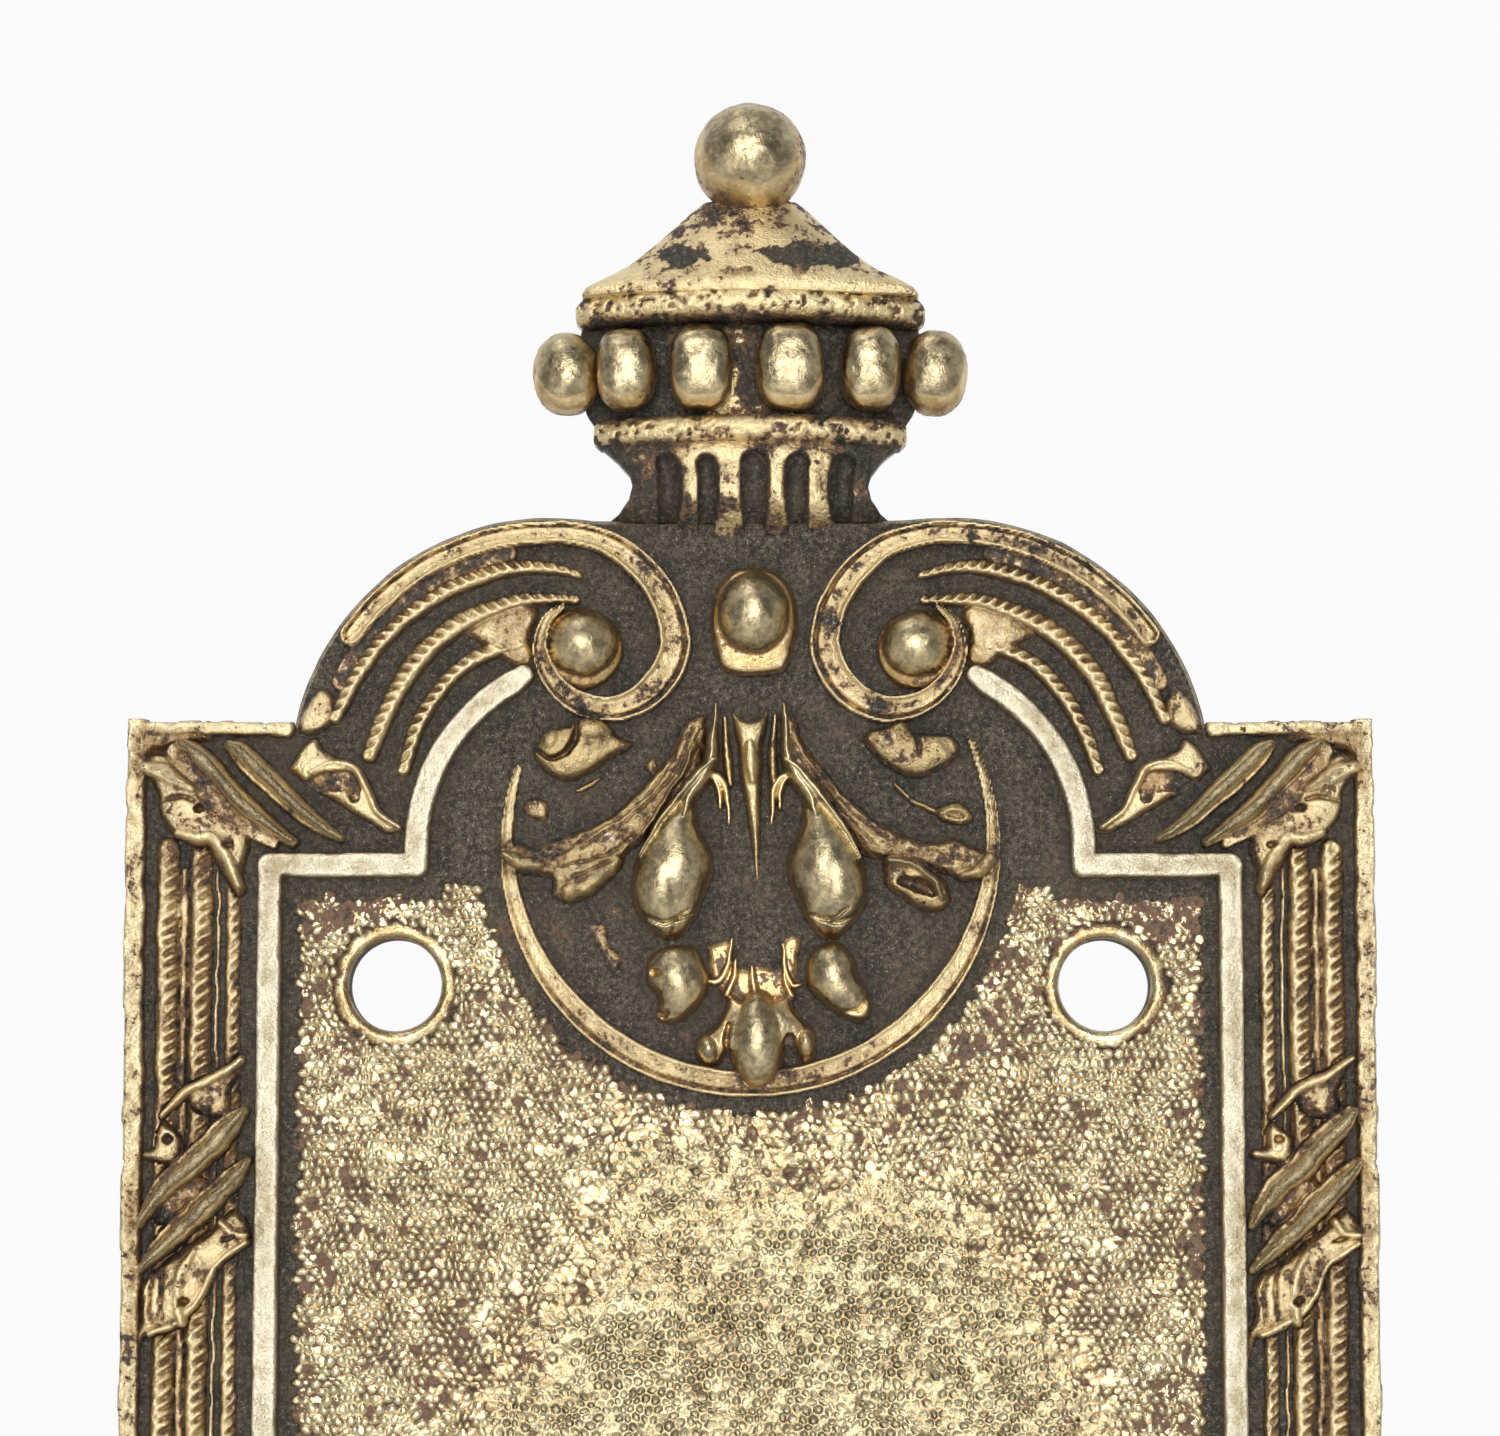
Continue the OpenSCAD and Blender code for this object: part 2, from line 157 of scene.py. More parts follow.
class Stroke:
    """Relief along a path: rows of (x, z, half width) or (x, z, half width, rise)."""

    def __init__(self, rows, rise, section=ROUND, mode="raise", pitch=0, lean=0.5, steps=8):
        rows = [tuple(r) + (rise,) if len(r) == 3 else r for r in rows]
        self.path = spline(rows, steps)
        self.mode, self.pitch, self.lean = mode, pitch, lean
        self.u, self.share = np.array(section, float).T

    def reach(self):
        pad = self.path[:, 2].max() + 0.3
        return self.path[:, :2].min(0) - pad, self.path[:, :2].max(0) + pad

    def height(self, x, z):
        """Height at each point, and below zero outside the stroke."""
        a, d = self.path[:-1], np.diff(self.path, axis=0)
        length = np.hypot(d[:, 0], d[:, 1])
        run = np.concatenate([[0], np.cumsum(length)])
        best = np.full(x.shape, 1e9)
        half, rise, away, s = (np.zeros(x.shape) for _ in range(4))
        for i in range(len(a)):
            if length[i] < 1e-6:
                continue
            px, pz = x - a[i, 0], z - a[i, 1]
            t = np.clip((px * d[i, 0] + pz * d[i, 1]) / length[i] ** 2, 0, 1)
            gap = np.hypot(px - t * d[i, 0], pz - t * d[i, 1])
            near = gap < best
            side = np.sign(px * d[i, 1] - pz * d[i, 0])
            best = np.where(near, gap, best)
            away = np.where(near, gap * side, away)
            half = np.where(near, a[i, 2] + t * d[i, 2], half)
            rise = np.where(near, a[i, 3] + t * d[i, 3], rise)
            s = np.where(near, run[i] + t * length[i], s)
        half = np.maximum(half, 0.02)
        u = away / half
        h = rise * np.interp(u, self.u, self.share)
        if self.pitch:
            turn = (s / self.pitch + self.lean * u + 0.25 * noise(s, self.pitch, 1.9, 7)) % 1
            tooth = np.minimum(turn / 0.62, (1 - turn) / 0.38)
            depth = 0.74 + 0.2 * noise(s, run[-1], 2.3, 8)
            depth = depth * smooth_step(u * np.sign(self.lean), -0.6, 0.4)
            h = h * (1 - depth * (1 - np.clip(tooth, 0, 1) ** 0.65))
        return np.where(np.abs(u) > 1, -(np.abs(u) - 1) * half * 1.5, h)


class Leaf:
    """A patch inside a smooth closed outline, swelling like a cushion blown up inside it."""

    def __init__(self, outline, rise, power=0.3):
        p = np.array(outline, float)
        self.loop = spline(np.vstack([p, p[:1]]), 6)
        self.rise, self.power, self.mode, self.side = rise, power, "raise", 1
        self.low = self.loop.min(0) - 2 * CELL
        self.swell = self.blow_up()

    def reach(self):
        ends = np.array([self.loop.min(0), self.loop.max(0)]) * [self.side, 1]
        return ends.min(0) - 0.4, ends.max(0) + 0.4

    def inside_and_edge(self, x, z):
        """Which points are inside the outline, and how far each is from it."""
        edge = np.full(x.shape, 1e9)
        inside = np.zeros(x.shape, bool)
        for (ax, az), (bx, bz) in zip(self.loop[:-1], self.loop[1:]):
            dx, dz = bx - ax, bz - az
            t = np.clip(((x - ax) * dx + (z - az) * dz) / max(dx * dx + dz * dz, 1e-9), 0, 1)
            edge = np.minimum(edge, np.hypot(x - ax - t * dx, z - az - t * dz))
            crosses = (az > z) != (bz > z)
            where = ax + (z - az) / (bz - az if bz != az else 1e-9) * dx
            inside ^= crosses & (x < where)
        return inside, edge

    def blow_up(self):
        """The shape of a film under pressure, fixed along the outline, with its top at 1."""
        nx, nz = np.ceil((self.loop.max(0) - self.low) / CELL).astype(int) + 3
        i, j = np.meshgrid(np.arange(nx), np.arange(nz), indexing="ij")
        inside, edge = self.inside_and_edge(self.low[0] + i * CELL, self.low[1] + j * CELL)
        film = np.where(inside, edge, 0)
        for turn in range(240):
            now = inside & ((i + j) % 2 == turn % 2)
            around = np.roll(film, 1, 0) + np.roll(film, -1, 0) + np.roll(film, 1, 1) + np.roll(film, -1, 1)
            film = np.where(now, film + 1.75 * ((around + CELL ** 2) / 4 - film), film)
        return np.clip(film / film.max(), 0, 1)

    def height(self, x, z):
        x = x * self.side
        inside, edge = self.inside_and_edge(x, z)
        film = between(self.swell, (x - self.low[0]) / CELL, (z - self.low[1]) / CELL)
        h = self.rise * np.maximum(film, 0.001) ** self.power * np.sqrt(np.clip(edge / 0.3, 0, 1))
        return np.where(inside, np.maximum(h, 0.001), -edge * 1.5)


class Dome:
    """A round swelling: its centre, its two radii, and how far its upright axis leans."""

    def __init__(self, x, z, rx, rz, rise, lean=0.0, mode="raise", power=0.5):
        self.centre, self.radii, self.lean = (x, z), (rx, rz), math.radians(lean)
        self.rise, self.mode, self.power = rise, mode, power

    def reach(self):
        pad = max(self.radii) + 0.4
        return np.array(self.centre) - pad, np.array(self.centre) + pad

    def height(self, x, z):
        dx, dz = x - self.centre[0], z - self.centre[1]
        c, s = math.cos(self.lean), math.sin(self.lean)
        d = np.hypot((c * dx - s * dz) / self.radii[0], (s * dx + c * dz) / self.radii[1])
        h = self.rise * np.clip(1 - d * d, 0, 1) ** self.power
        return np.where(d < 1, h, (1 - d) * min(self.radii) * 1.5)


def groove(rows, depth):
    """A sharp cut along a path."""
    return Stroke(rows, depth, RIDGE, "cut")


def dent(x, z, rx, rz, depth, lean=0.0):
    """A round hollow."""
    return Dome(x, z, rx, rz, depth, lean, "cut")


def mirrored(ops):
    """The same strokes on the other side of the middle line."""
    twins = []
    for op in ops:
        twin = object.__new__(type(op))
        twin.__dict__.update(op.__dict__)
        if isinstance(op, Stroke):
            twin.path = op.path * np.array([-1, 1, 1, 1])
            twin.u, twin.share = -op.u[::-1], op.share[::-1]
            twin.lean = -op.lean
        elif isinstance(op, Leaf):
            twin.side = -1
        else:
            twin.centre, twin.lean = (-op.centre[0], op.centre[1]), -op.lean
        twins.append(twin)
    return twins


def soft_max(a, b, blend=0.06):
    """The higher of two heights, rounded where they meet."""
    d = np.clip(0.5 + 0.5 * (a - b) / blend, 0, 1)
    return b + (a - b) * d + blend * d * (1 - d)


def relief(ops, x, z, seed, wobble=0.07, grit=0.03):
    """Height of a group of strokes, with the small unevenness of a casting."""
    wx = x + wobble * rough(x, z, 1.3, seed + 11)
    wz = z + wobble * rough(x, z, 1.3, seed + 23)
    h = np.full(x.shape, -1.0)
    for op in ops:
        low, high = op.reach()
        box = (wx > low[0]) & (wx < high[0]) & (wz > low[1]) & (wz < high[1])
        if not box.any():
            continue
        v = op.height(wx[box], wz[box])
        if op.mode == "raise":
            h[box] = np.where(np.minimum(h[box], v) > 0, soft_max(h[box], v), np.maximum(h[box], v))
        else:
            h[box] = np.where(h[box] > 0, np.maximum(h[box] - np.maximum(v, 0), 0.04), h[box])
    return np.where(h > 0, h + grit * rough(x, z, 0.5, seed + 31) * np.minimum(h / 0.2, 1), h)


class Grid:
    """Heights on a square grid. It is kept so that meshes, and the map of hollows, can be made from it."""

    def __init__(self, low, high, cell=CELL):
        spans = [np.arange(math.floor(a / cell), math.ceil(b / cell) + 1) * cell for a, b in zip(low, high)]
        self.fill(*spans, cell)

    def fill(self, xs, zs, cell, h=None):
        self.xs, self.zs, self.cell = xs, zs, cell
        self.x, self.z = np.meshgrid(xs, zs, indexing="ij")
        self.h = np.full(self.x.shape, -1.0) if h is None else h
        return self

    def read(self, x, z, table=None):
        """Values between grid points, of the heights or of another table of the same size."""
        table = self.h if table is None else table
        return between(table, (x - self.xs[0]) / self.cell, (z - self.zs[0]) / self.cell)


def flipped(grid):
    """The grid in a mirror at the middle line."""
    return object.__new__(Grid).fill(-grid.xs[::-1], grid.zs, grid.cell, grid.h[::-1])


def whole_length(grid, other_side):
    """Joins the upper half of one side to the other side's upper half turned half round."""
    zs = np.concatenate([-grid.zs[:0:-1], grid.zs])
    h = np.hstack([other_side.h[::-1, :0:-1], grid.h])
    return object.__new__(Grid).fill(grid.xs, zs, grid.cell, h)


def carve(ops, seed, cell, **unevenness):
    """The grid that a group of end strokes fills. Its z is counted from the plate's middle."""
    low = np.min([op.reach()[0] for op in ops], axis=0)
    high = np.max([op.reach()[1] for op in ops], axis=0)
    grid = Grid((low[0], low[1] + SHOULDER), (high[0], high[1] + SHOULDER), cell)
    grid.h = relief(ops, grid.x, grid.z - SHOULDER, seed, **unevenness)
    return grid


# ---------------------------------------------------------------- meshes


def cut_at_zero(grid):
    """Vertices (x, z, h) and triangles of the part of a grid that stands above zero."""
    nx, nz = grid.h.shape
    ids = np.arange(nx * nz).reshape(nx, nz)
    up = grid.h > 0
    i, j = np.nonzero(up[:-1, :-1] | up[1:, :-1] | up[:-1, 1:] | up[1:, 1:])
    a, b, c, d = ids[i, j], ids[i + 1, j], ids[i + 1, j + 1], ids[i, j + 1]
    tris = np.vstack([columns(a, b, c), columns(a, c, d)])
    h = grid.h.ravel()
    inside = h[tris] > 0
    count = inside.sum(1)
    total = nx * nz

    def turned(rows, flags):
        first = flags.argmax(1)
        return columns(*(rows[np.arange(len(rows)), (first + k) % 3] for k in range(3)))

    def edge(p, q):
        return total + np.minimum(p, q) * np.int64(total) + np.maximum(p, q)

    one = turned(tris[count == 1], inside[count == 1])
    two = turned(tris[count == 2], ~inside[count == 2])
    faces = np.vstack([
        tris[count == 3],
        columns(one[:, 0], edge(one[:, 0], one[:, 1]), edge(one[:, 0], one[:, 2])),
        columns(two[:, 1], two[:, 2], edge(two[:, 0], two[:, 2])),
        columns(two[:, 1], edge(two[:, 0], two[:, 2]), edge(two[:, 0], two[:, 1]))])
    keys, faces = np.unique(faces, return_inverse=True)
    faces = faces.reshape(-1, 3)
    on_edge = keys >= total
    p = np.where(on_edge, (keys - total) // total, keys)
    q = np.where(on_edge, (keys - total) % total, keys)
    t = np.where(on_edge, h[p] / np.where(on_edge, h[p] - h[q], 1), 0)
    x, z = grid.x.ravel(), grid.z.ravel()
    verts = columns(x[p] + t * (x[q] - x[p]), z[p] + t * (z[q] - z[p]), np.where(on_edge, 0, h[p]))
    return verts, faces


def border_loops(faces):
    """Closed loops of the edges that only one triangle uses."""
    edges = np.vstack([faces[:, [0, 1]], faces[:, [1, 2]], faces[:, [2, 0]]]).astype(np.int64)
    size = edges.max() + 1
    key, back = edges[:, 0] * size + edges[:, 1], edges[:, 1] * size + edges[:, 0]
    rim = edges[~np.isin(key, back)]
    after = dict(zip(rim[:, 0].tolist(), rim[:, 1].tolist()))
    loops = []
    while after:
        start, at = next(iter(after.items()))
        loop = [start]
        del after[start]
        while at != start:
            loop.append(at)
            at = after.pop(at)
        loops.append(loop)
    return loops


def area_of(points):
    x, z = points[:, 0], points[:, 1]
    return 0.5 * np.sum(x * np.roll(z, -1) - np.roll(x, -1) * z)


def holds(outer, point):
    """Whether a closed outline goes round a point."""
    x, z = outer[:, 0], outer[:, 1]
    x2, z2 = np.roll(x, -1), np.roll(z, -1)
    crosses = (z > point[1]) != (z2 > point[1])
    where = x + (point[1] - z) / np.where(z2 == z, 1e-9, z2 - z) * (x2 - x)
    return (crosses & (point[0] < where)).sum() % 2 == 1


def fill_loops(points, loops):
    """Flat triangles inside outer loops, leaving their holes open. They face the back."""
    outers = [l for l in loops if area_of(points[l]) > 0]
    groups = [[l] for l in outers]
    for hole in (l for l in loops if area_of(points[l]) <= 0):
        around = [k for k, o in enumerate(outers) if holds(points[o], points[hole[0]])]
        groups[min(around, key=lambda k: area_of(points[outers[k]]))].append(hole)
    faces = []
    for group in groups:
        ids = np.concatenate([np.array(l) for l in group])
        rows = geometry.tessellate_polygon([[Vector((*points[i], 0)) for i in l] for l in group])
        tri = ids[np.array(rows, int)]
        a, b, c = points[tri[:, 0]], points[tri[:, 1]], points[tri[:, 2]]
        turn = (b[:, 0] - a[:, 0]) * (c[:, 1] - a[:, 1]) - (b[:, 1] - a[:, 1]) * (c[:, 0] - a[:, 0])
        tri[turn > 0] = tri[turn > 0][:, ::-1]
        faces.append(tri)
    return np.vstack(faces)


def close_back(verts, faces, base):
    """Walls down from the border of a relief, and a flat back. Heights are counted from the ground."""
    loops = border_loops(faces)
    rim = np.concatenate([np.array(l) for l in loops])
    below = np.full(len(verts), -1)
    below[rim] = len(verts) + np.arange(len(rim))
    low = verts[rim].copy()
    low[:, 2] = base
    walls = []
    for loop in loops:
        a, b = np.array(loop), np.roll(loop, -1)
        walls += [columns(b, a, below[a]), columns(b, below[a], below[b])]
    every = np.vstack([verts, low])
    back = below[fill_loops(verts[:, :2], loops)]
    return every, np.vstack([faces] + walls + [back])


def to_world(verts):
    """(x, z, height over the ground) in millimetres to metres in the frame."""
    return columns(verts[:, 0], -(GROUND + verts[:, 2]), verts[:, 1]) * MM


def add_mesh(name, points, faces, finish_and_painted_light, material):
    """A mesh object from arrays, with finish (rise, crest, rub) on its points; crest also paints highlight
    and shade.
    """
    mesh = bpy.data.meshes.new(name)
    mesh.vertices.add(len(points))
    mesh.vertices.foreach_set("co", points.astype(np.float32).ravel())
    mesh.loops.add(faces.size)
    mesh.loops.foreach_set("vertex_index", faces.astype(np.int32).ravel())
    mesh.polygons.add(len(faces))
    mesh.polygons.foreach_set("loop_start", np.arange(0, faces.size, 3, dtype=np.int32))
    mesh.polygons.foreach_set("use_smooth", np.full(len(faces), True))
    mesh.update(calc_edges=True)
    data = mesh.color_attributes.new("finish_and_painted_light", "FLOAT_COLOR", "POINT")
    rgba = np.ones((len(points), 4), np.float32)
    rgba[:, :3] = finish_and_painted_light
    data.data.foreach_set("color", rgba.ravel())
    mesh.materials.append(material)
    obj = bpy.data.objects.new(name, mesh)
    bpy.context.collection.objects.link(obj)
    return obj


def place(obj, node, slot):
    """Fixes a piece to the plate, in place of its CAD node."""
    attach(obj, "root")
    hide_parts(node)


def add_ends(key, twin, slot, verts, faces, finish_and_painted_light, material):
    """A piece of the upper end, and the same piece turned half round as its twin of the lower end."""
    for node, turn in ((f"upper_{key}", 1), (f"lower_{twin}", -1)):
        points = to_world(verts) * [turn, 1, turn]
        place(add_mesh(f"{node}_cast", points, faces, finish_and_painted_light, material), node, slot)


# ---------------------------------------------------------------- the drawing of the ornament

LOBE_X, LOBE_Z, LOBE_R = 11.3, -2.9, 14.7
STEM_TOP = 11.6                  # where the plate ends, behind the finial's neck


def volute_strokes():
    """Right scroll: along the lobe's edge, over the top and round the eye."""
    lobe = arc_rows(LOBE_X, LOBE_Z, LOBE_R - 1.1, 35, 96, 0.66, 10)
    curl = [(7.7, 9.95, 0.74), (5.9, 8.5, 0.84), (4.75, 6.75, 0.88), (4.25, 5.0, 0.9), (4.3, 3.8, 0.92),
            (4.95, 2.4, 0.92), (6.1, 1.25, 0.84), (7.6, 0.68, 0.76), (9.2, 0.85, 0.7), (10.5, 1.6, 0.62),
            (11.4, 2.8, 0.54), (11.8, 4.2, 0.44), (11.5, 5.6, 0.34), (10.6, 6.5, 0.2)]
    cove = arc_rows(LOBE_X, LOBE_Z, LOBE_R - 1.95, 24, 79, 0.64, 9)
    foot = [(25.4, -0.7), (25.3, 0.3), (24.7, 1.4), (24.0, 1.9), (23.3, 1.2), (23.4, 0.1), (24.3, -0.7)]
    return [Stroke(cove, 0.42, FLAT), Leaf(foot, 0.7), Stroke(lobe + curl, 1.4, SCROLL)]


def lobe_reed_strokes():
    """Three ropes of the right lobe, and the shell where they meet at the eye."""
    outer = [(23.3, 0.2, 0.42), (22.2, 2.5, 0.52), (20.2, 5.2, 0.55), (17.7, 7.1, 0.55), (14.8, 8.4, 0.52),
             (12.0, 8.8, 0.42), (9.6, 8.3, 0.22)]
    middle = [(21.4, -1.9, 0.45), (20.4, 0.6, 0.62), (19.1, 3.0, 0.66), (17.3, 4.9, 0.66),
              (15.2, 6.1, 0.6), (12.6, 6.9, 0.45), (9.8, 6.9, 0.25)]
    inner = [(19.5, -2.7, 0.4), (18.8, -0.5, 0.48), (17.7, 1.4, 0.5), (16.2, 3.1, 0.5), (14.6, 4.0, 0.5),
             (12.9, 4.4, 0.4)]
    shell = [(16.3, 5.0), (14.6, 6.3), (12.9, 6.8), (11.9, 6.2), (12.3, 4.8), (12.2, 3.3), (13.2, 3.0),
             (14.2, 3.7), (15.0, 4.3)]
    return [Leaf(shell, 0.75), Stroke(outer, 0.85, ROPE_TOP, pitch=0.66, lean=0.6),
            Stroke(middle, 0.95, ROPE_TOP, pitch=0.66, lean=0.6),
            Stroke(inner, 0.85, ROPE_TOP, pitch=0.7, lean=0.55)]


def corner_tie_strokes():
    """The bow in the upper left corner."""
    fold = [(-34.2, -1.9), (-33.0, -1.7), (-32.3, -2.2), (-31.4, -3.2), (-30.4, -4.4), (-29.4, -5.3),
            (-28.3, -5.7), (-28.0, -7.0), (-28.4, -8.6), (-28.2, -9.5), (-28.7, -9.9), (-29.2, -9.2),
            (-29.9, -8.1), (-30.5, -7.1), (-31.6, -6.9), (-32.5, -6.2), (-33.2, -5.1), (-33.3, -4.1),
            (-33.9, -3.0)]
    arch = [(-26.0, -2.7), (-25.3, -1.5), (-24.4, -0.9), (-23.9, -1.6), (-22.9, -2.1), (-21.9, -2.6),
            (-21.3, -3.6), (-20.9, -5.0), (-19.4, -6.2), (-20.3, -6.3), (-21.4, -5.7), (-22.9, -4.8),
            (-24.9, -3.6)]
    return [
        Leaf(fold, 1.15),
        Stroke([(-33.9, -2.6, 0.5), (-33.0, -2.9, 0.75), (-32.2, -3.4, 0.7), (-31.3, -3.9, 0.35)], 1.4),
        Stroke([(-32.0, -6.3, 0.35), (-31.0, -6.6, 0.5), (-30.1, -6.6, 0.6), (-29.2, -7.8, 0.55),
                (-28.6, -9.3, 0.3)],
               1.35),
        groove([(-32.9, -4.5, 0.16), (-31.9, -4.3, 0.2), (-31.2, -4.5, 0.14)], 0.3),
        dent(-30.85, -4.9, 0.3, 0.26, 0.8), dent(-29.2, -7.0, 0.35, 0.22, 0.5),
        Stroke([(-32.2, -1.7, 0.6), (-31.3, -3.1, 0.75), (-29.9, -4.6, 0.75), (-28.5, -5.8, 0.6),
                (-26.7, -6.9, 0.3)],
               0.8, FLAT),
        Stroke([(-31.9, -1.3, 0.42), (-31.1, -1.9, 0.72), (-29.9, -3.2, 0.76), (-28.6, -4.6, 0.74),
                (-27.3, -5.7, 0.62), (-25.6, -6.8, 0.3)], 1.6, RIB),
        Stroke([(-29.2, -1.4, 0.36), (-28.5, -1.9, 0.68), (-27.2, -3.2, 0.72), (-25.7, -4.6, 0.64),
                (-24.3, -5.8, 0.5), (-22.9, -6.6, 0.22)], 1.55, RIB),
        Leaf(arch, 1.05),
        Stroke([(-24.9, -3.6, 0.35), (-23.7, -3.4, 0.62), (-22.4, -3.5, 0.6), (-22.2, -4.3, 0.35)], 0.8,
               FLAT, "cut"),
        Stroke([(-24.7, -2.9, 0.22), (-23.5, -2.4, 0.28), (-22.2, -2.7, 0.28), (-21.5, -3.9, 0.28),
                (-20.9, -5.1, 0.26), (-19.7, -6.0, 0.2)], 1.15)]


def tie_strokes():
    """One ribbon tie about its own centre: a torn leaf end, two round ribs and the lower fold."""
    ribbon = [(2.3, -0.7), (3.0, -1.5), (3.1, -2.5), (2.7, -3.1), (1.7, -3.6), (1.0, -4.4), (0.6, -5.4),
              (-0.1, -6.5), (-1.1, -7.3), (-2.1, -7.5), (-2.8, -8.2), (-3.3, -9.3), (-3.4, -8.0),
              (-2.9, -6.6), (-3.0, -5.4), (-2.7, -4.5), (-1.8, -3.9), (-0.4, -2.8), (0.7, -2.1),
              (1.5, -1.3)]
    loop = [(-2.2, 3.5), (-1.7, 4.1), (-1.1, 3.6), (-0.7, 3.1), (-0.7, 2.3), (-1.1, 1.6), (-2.1, 1.8),
            (-3.0, 2.0), (-3.0, 2.5), (-2.3, 2.6)]
    torn = [(2.8, 7.8), (2.2, 7.3), (1.2, 6.8), (0.1, 6.3), (-0.6, 5.9), (-0.4, 4.9), (0.4, 4.4),
            (1.2, 4.2), (1.9, 4.6), (1.9, 5.8), (2.4, 6.8)]
    web = [(-2.2, -1.5), (-1.6, -0.1), (-0.5, 1.0), (0.7, 0.8), (0.6, 0.1), (-0.6, -0.9), (-1.6, -1.7)]
    return [
        Leaf(torn, 0.8), Leaf(web, 0.55, 0.25), Leaf(loop, 1.15, 0.35), Leaf(ribbon, 1.15),
        dent(-1.5, 3.1, 0.34, 0.3, 0.8), dent(0.6, 4.6, 0.3, 0.2, 0.4),
        Stroke([(2.6, 7.6, 0.26), (1.4, 6.7, 0.36), (0.1, 6.0, 0.38), (-0.9, 5.4, 0.36), (-1.8, 4.4, 0.24)],
               1.15),
        Stroke([(2.6, 4.6, 0.4), (2.0, 3.9, 0.7), (0.9, 2.8, 0.82), (-0.5, 1.4, 0.82), (-1.8, 0.2, 0.7),
                (-3.0, -1.6, 0.3)], 1.6, RIB),
        Stroke([(3.0, 1.9, 0.3), (2.2, 1.0, 0.6), (1.0, -0.2, 0.72), (-0.3, -1.5, 0.72), (-1.5, -2.6, 0.64),
                (-3.0, -4.1, 0.28)], 1.55, RIB),
        Stroke([(0.0, -3.2, 0.3), (-0.7, -4.4, 0.55), (-0.8, -5.6, 0.55), (-0.6, -7.0, 0.35)], 1.35),
        Stroke([(2.9, -2.6, 0.25), (1.9, -3.3, 0.32), (1.1, -4.0, 0.3), (0.6, -5.2, 0.28),
                (-0.1, -6.3, 0.3), (-1.1, -7.1, 0.3), (-2.4, -7.7, 0.25)], 1.05),
        Stroke([(1.5, -1.5, 0.3), (2.1, -2.1, 0.36), (2.9, -2.2, 0.25)], 1.25),
        dent(-0.55, -5.9, 0.36, 0.3, 0.9), dent(1.9, -2.4, 0.5, 0.16, 0.5, -20),
        groove([(-1.7, -4.2, 0.14), (-1.8, -5.6, 0.16), (-1.6, -6.9, 0.12)], 0.45),
        groove([(-2.3, -4.6, 0.12), (-2.4, -5.8, 0.14), (-2.3, -7.1, 0.12)], 0.4)]


def ring_strokes():
    band = []
    for k, (x, z, _) in enumerate(arc_rows(0, RING_Z, RING_R - 0.75, 163, 384, 0, 30)):
        full = min(1, (k + 0.5) / 9, (29.5 - k) / 9)
        band.append((x, z, 0.2 + 0.58 * full, 0.5 + 0.45 * full))
    return [Stroke(band, 0, RING, steps=3)]


def veins(*paths):
    """Fine grooves along a leaf."""
    return [groove([place + (0.13,) for place in path], 0.17) for path in paths]


def left_frond_strokes():
    leaf = [(-2.3, 0.4), (-3.5, -0.1), (-4.2, -1.2), (-5.0, -2.5), (-6.2, -3.7), (-7.3, -4.8), (-8.5, -5.7),
            (-9.8, -6.2), (-11.0, -6.6), (-12.0, -7.2), (-13.2, -6.9), (-14.1, -7.3), (-13.7, -7.9),
            (-12.8, -8.6), (-11.2, -8.9), (-11.1, -9.8), (-10.3, -10.2), (-9.2, -9.9), (-8.2, -9.2),
            (-7.4, -8.2), (-6.7, -7.2), (-5.8, -6.7), (-4.7, -5.3), (-3.4, -3.9), (-2.8, -2.6),
            (-2.4, -1.0)]
    return [Leaf(leaf, 1.15),
            Stroke([(-11.8, -8.1, 0.4), (-12.8, -8.0, 0.5), (-13.8, -7.5, 0.35)], 1.35),
            Stroke([(-7.6, -7.8, 0.5), (-8.8, -8.9, 0.7), (-10.2, -9.7, 0.5)], 1.25),
            Stroke([(-3.0, -1.4, 0.22), (-4.0, -3.3, 0.28), (-5.0, -4.9, 0.26), (-5.9, -6.4, 0.16)], 1.45),
            Leaf([(-13.0, -4.9), (-12.3, -4.3), (-11.5, -4.5), (-11.2, -5.0), (-11.5, -5.7), (-12.4, -5.3)],
                 0.4),
            Stroke([(-9.7, -3.9, 0.12), (-9.0, -3.6, 0.22), (-8.4, -3.2, 0.12)], 0.35),
            Leaf([(-6.0, -2.4), (-5.4, -2.1), (-5.2, -2.6), (-5.5, -3.1), (-5.9, -2.9)], 0.35),
            Leaf([(-9.0, -11.4), (-8.2, -11.5), (-7.9, -12.5), (-7.1, -13.4), (-7.6, -14.1), (-8.3, -13.2),
                  (-8.8, -12.2)], 0.22)] + veins(
        [(-3.1, -0.5), (-4.3, -2.9), (-6.3, -5.1), (-9.4, -7.2)],
        [(-3.7, -0.7), (-5.0, -3.2), (-7.0, -5.2), (-10.8, -7.5)],
        [(-2.7, -0.6), (-3.6, -2.9), (-4.9, -4.9)], [(-6.3, -6.4), (-8.0, -7.5), (-10.6, -8.2)],
        [(-7.0, -7.5), (-8.6, -8.2), (-10.0, -8.9)])


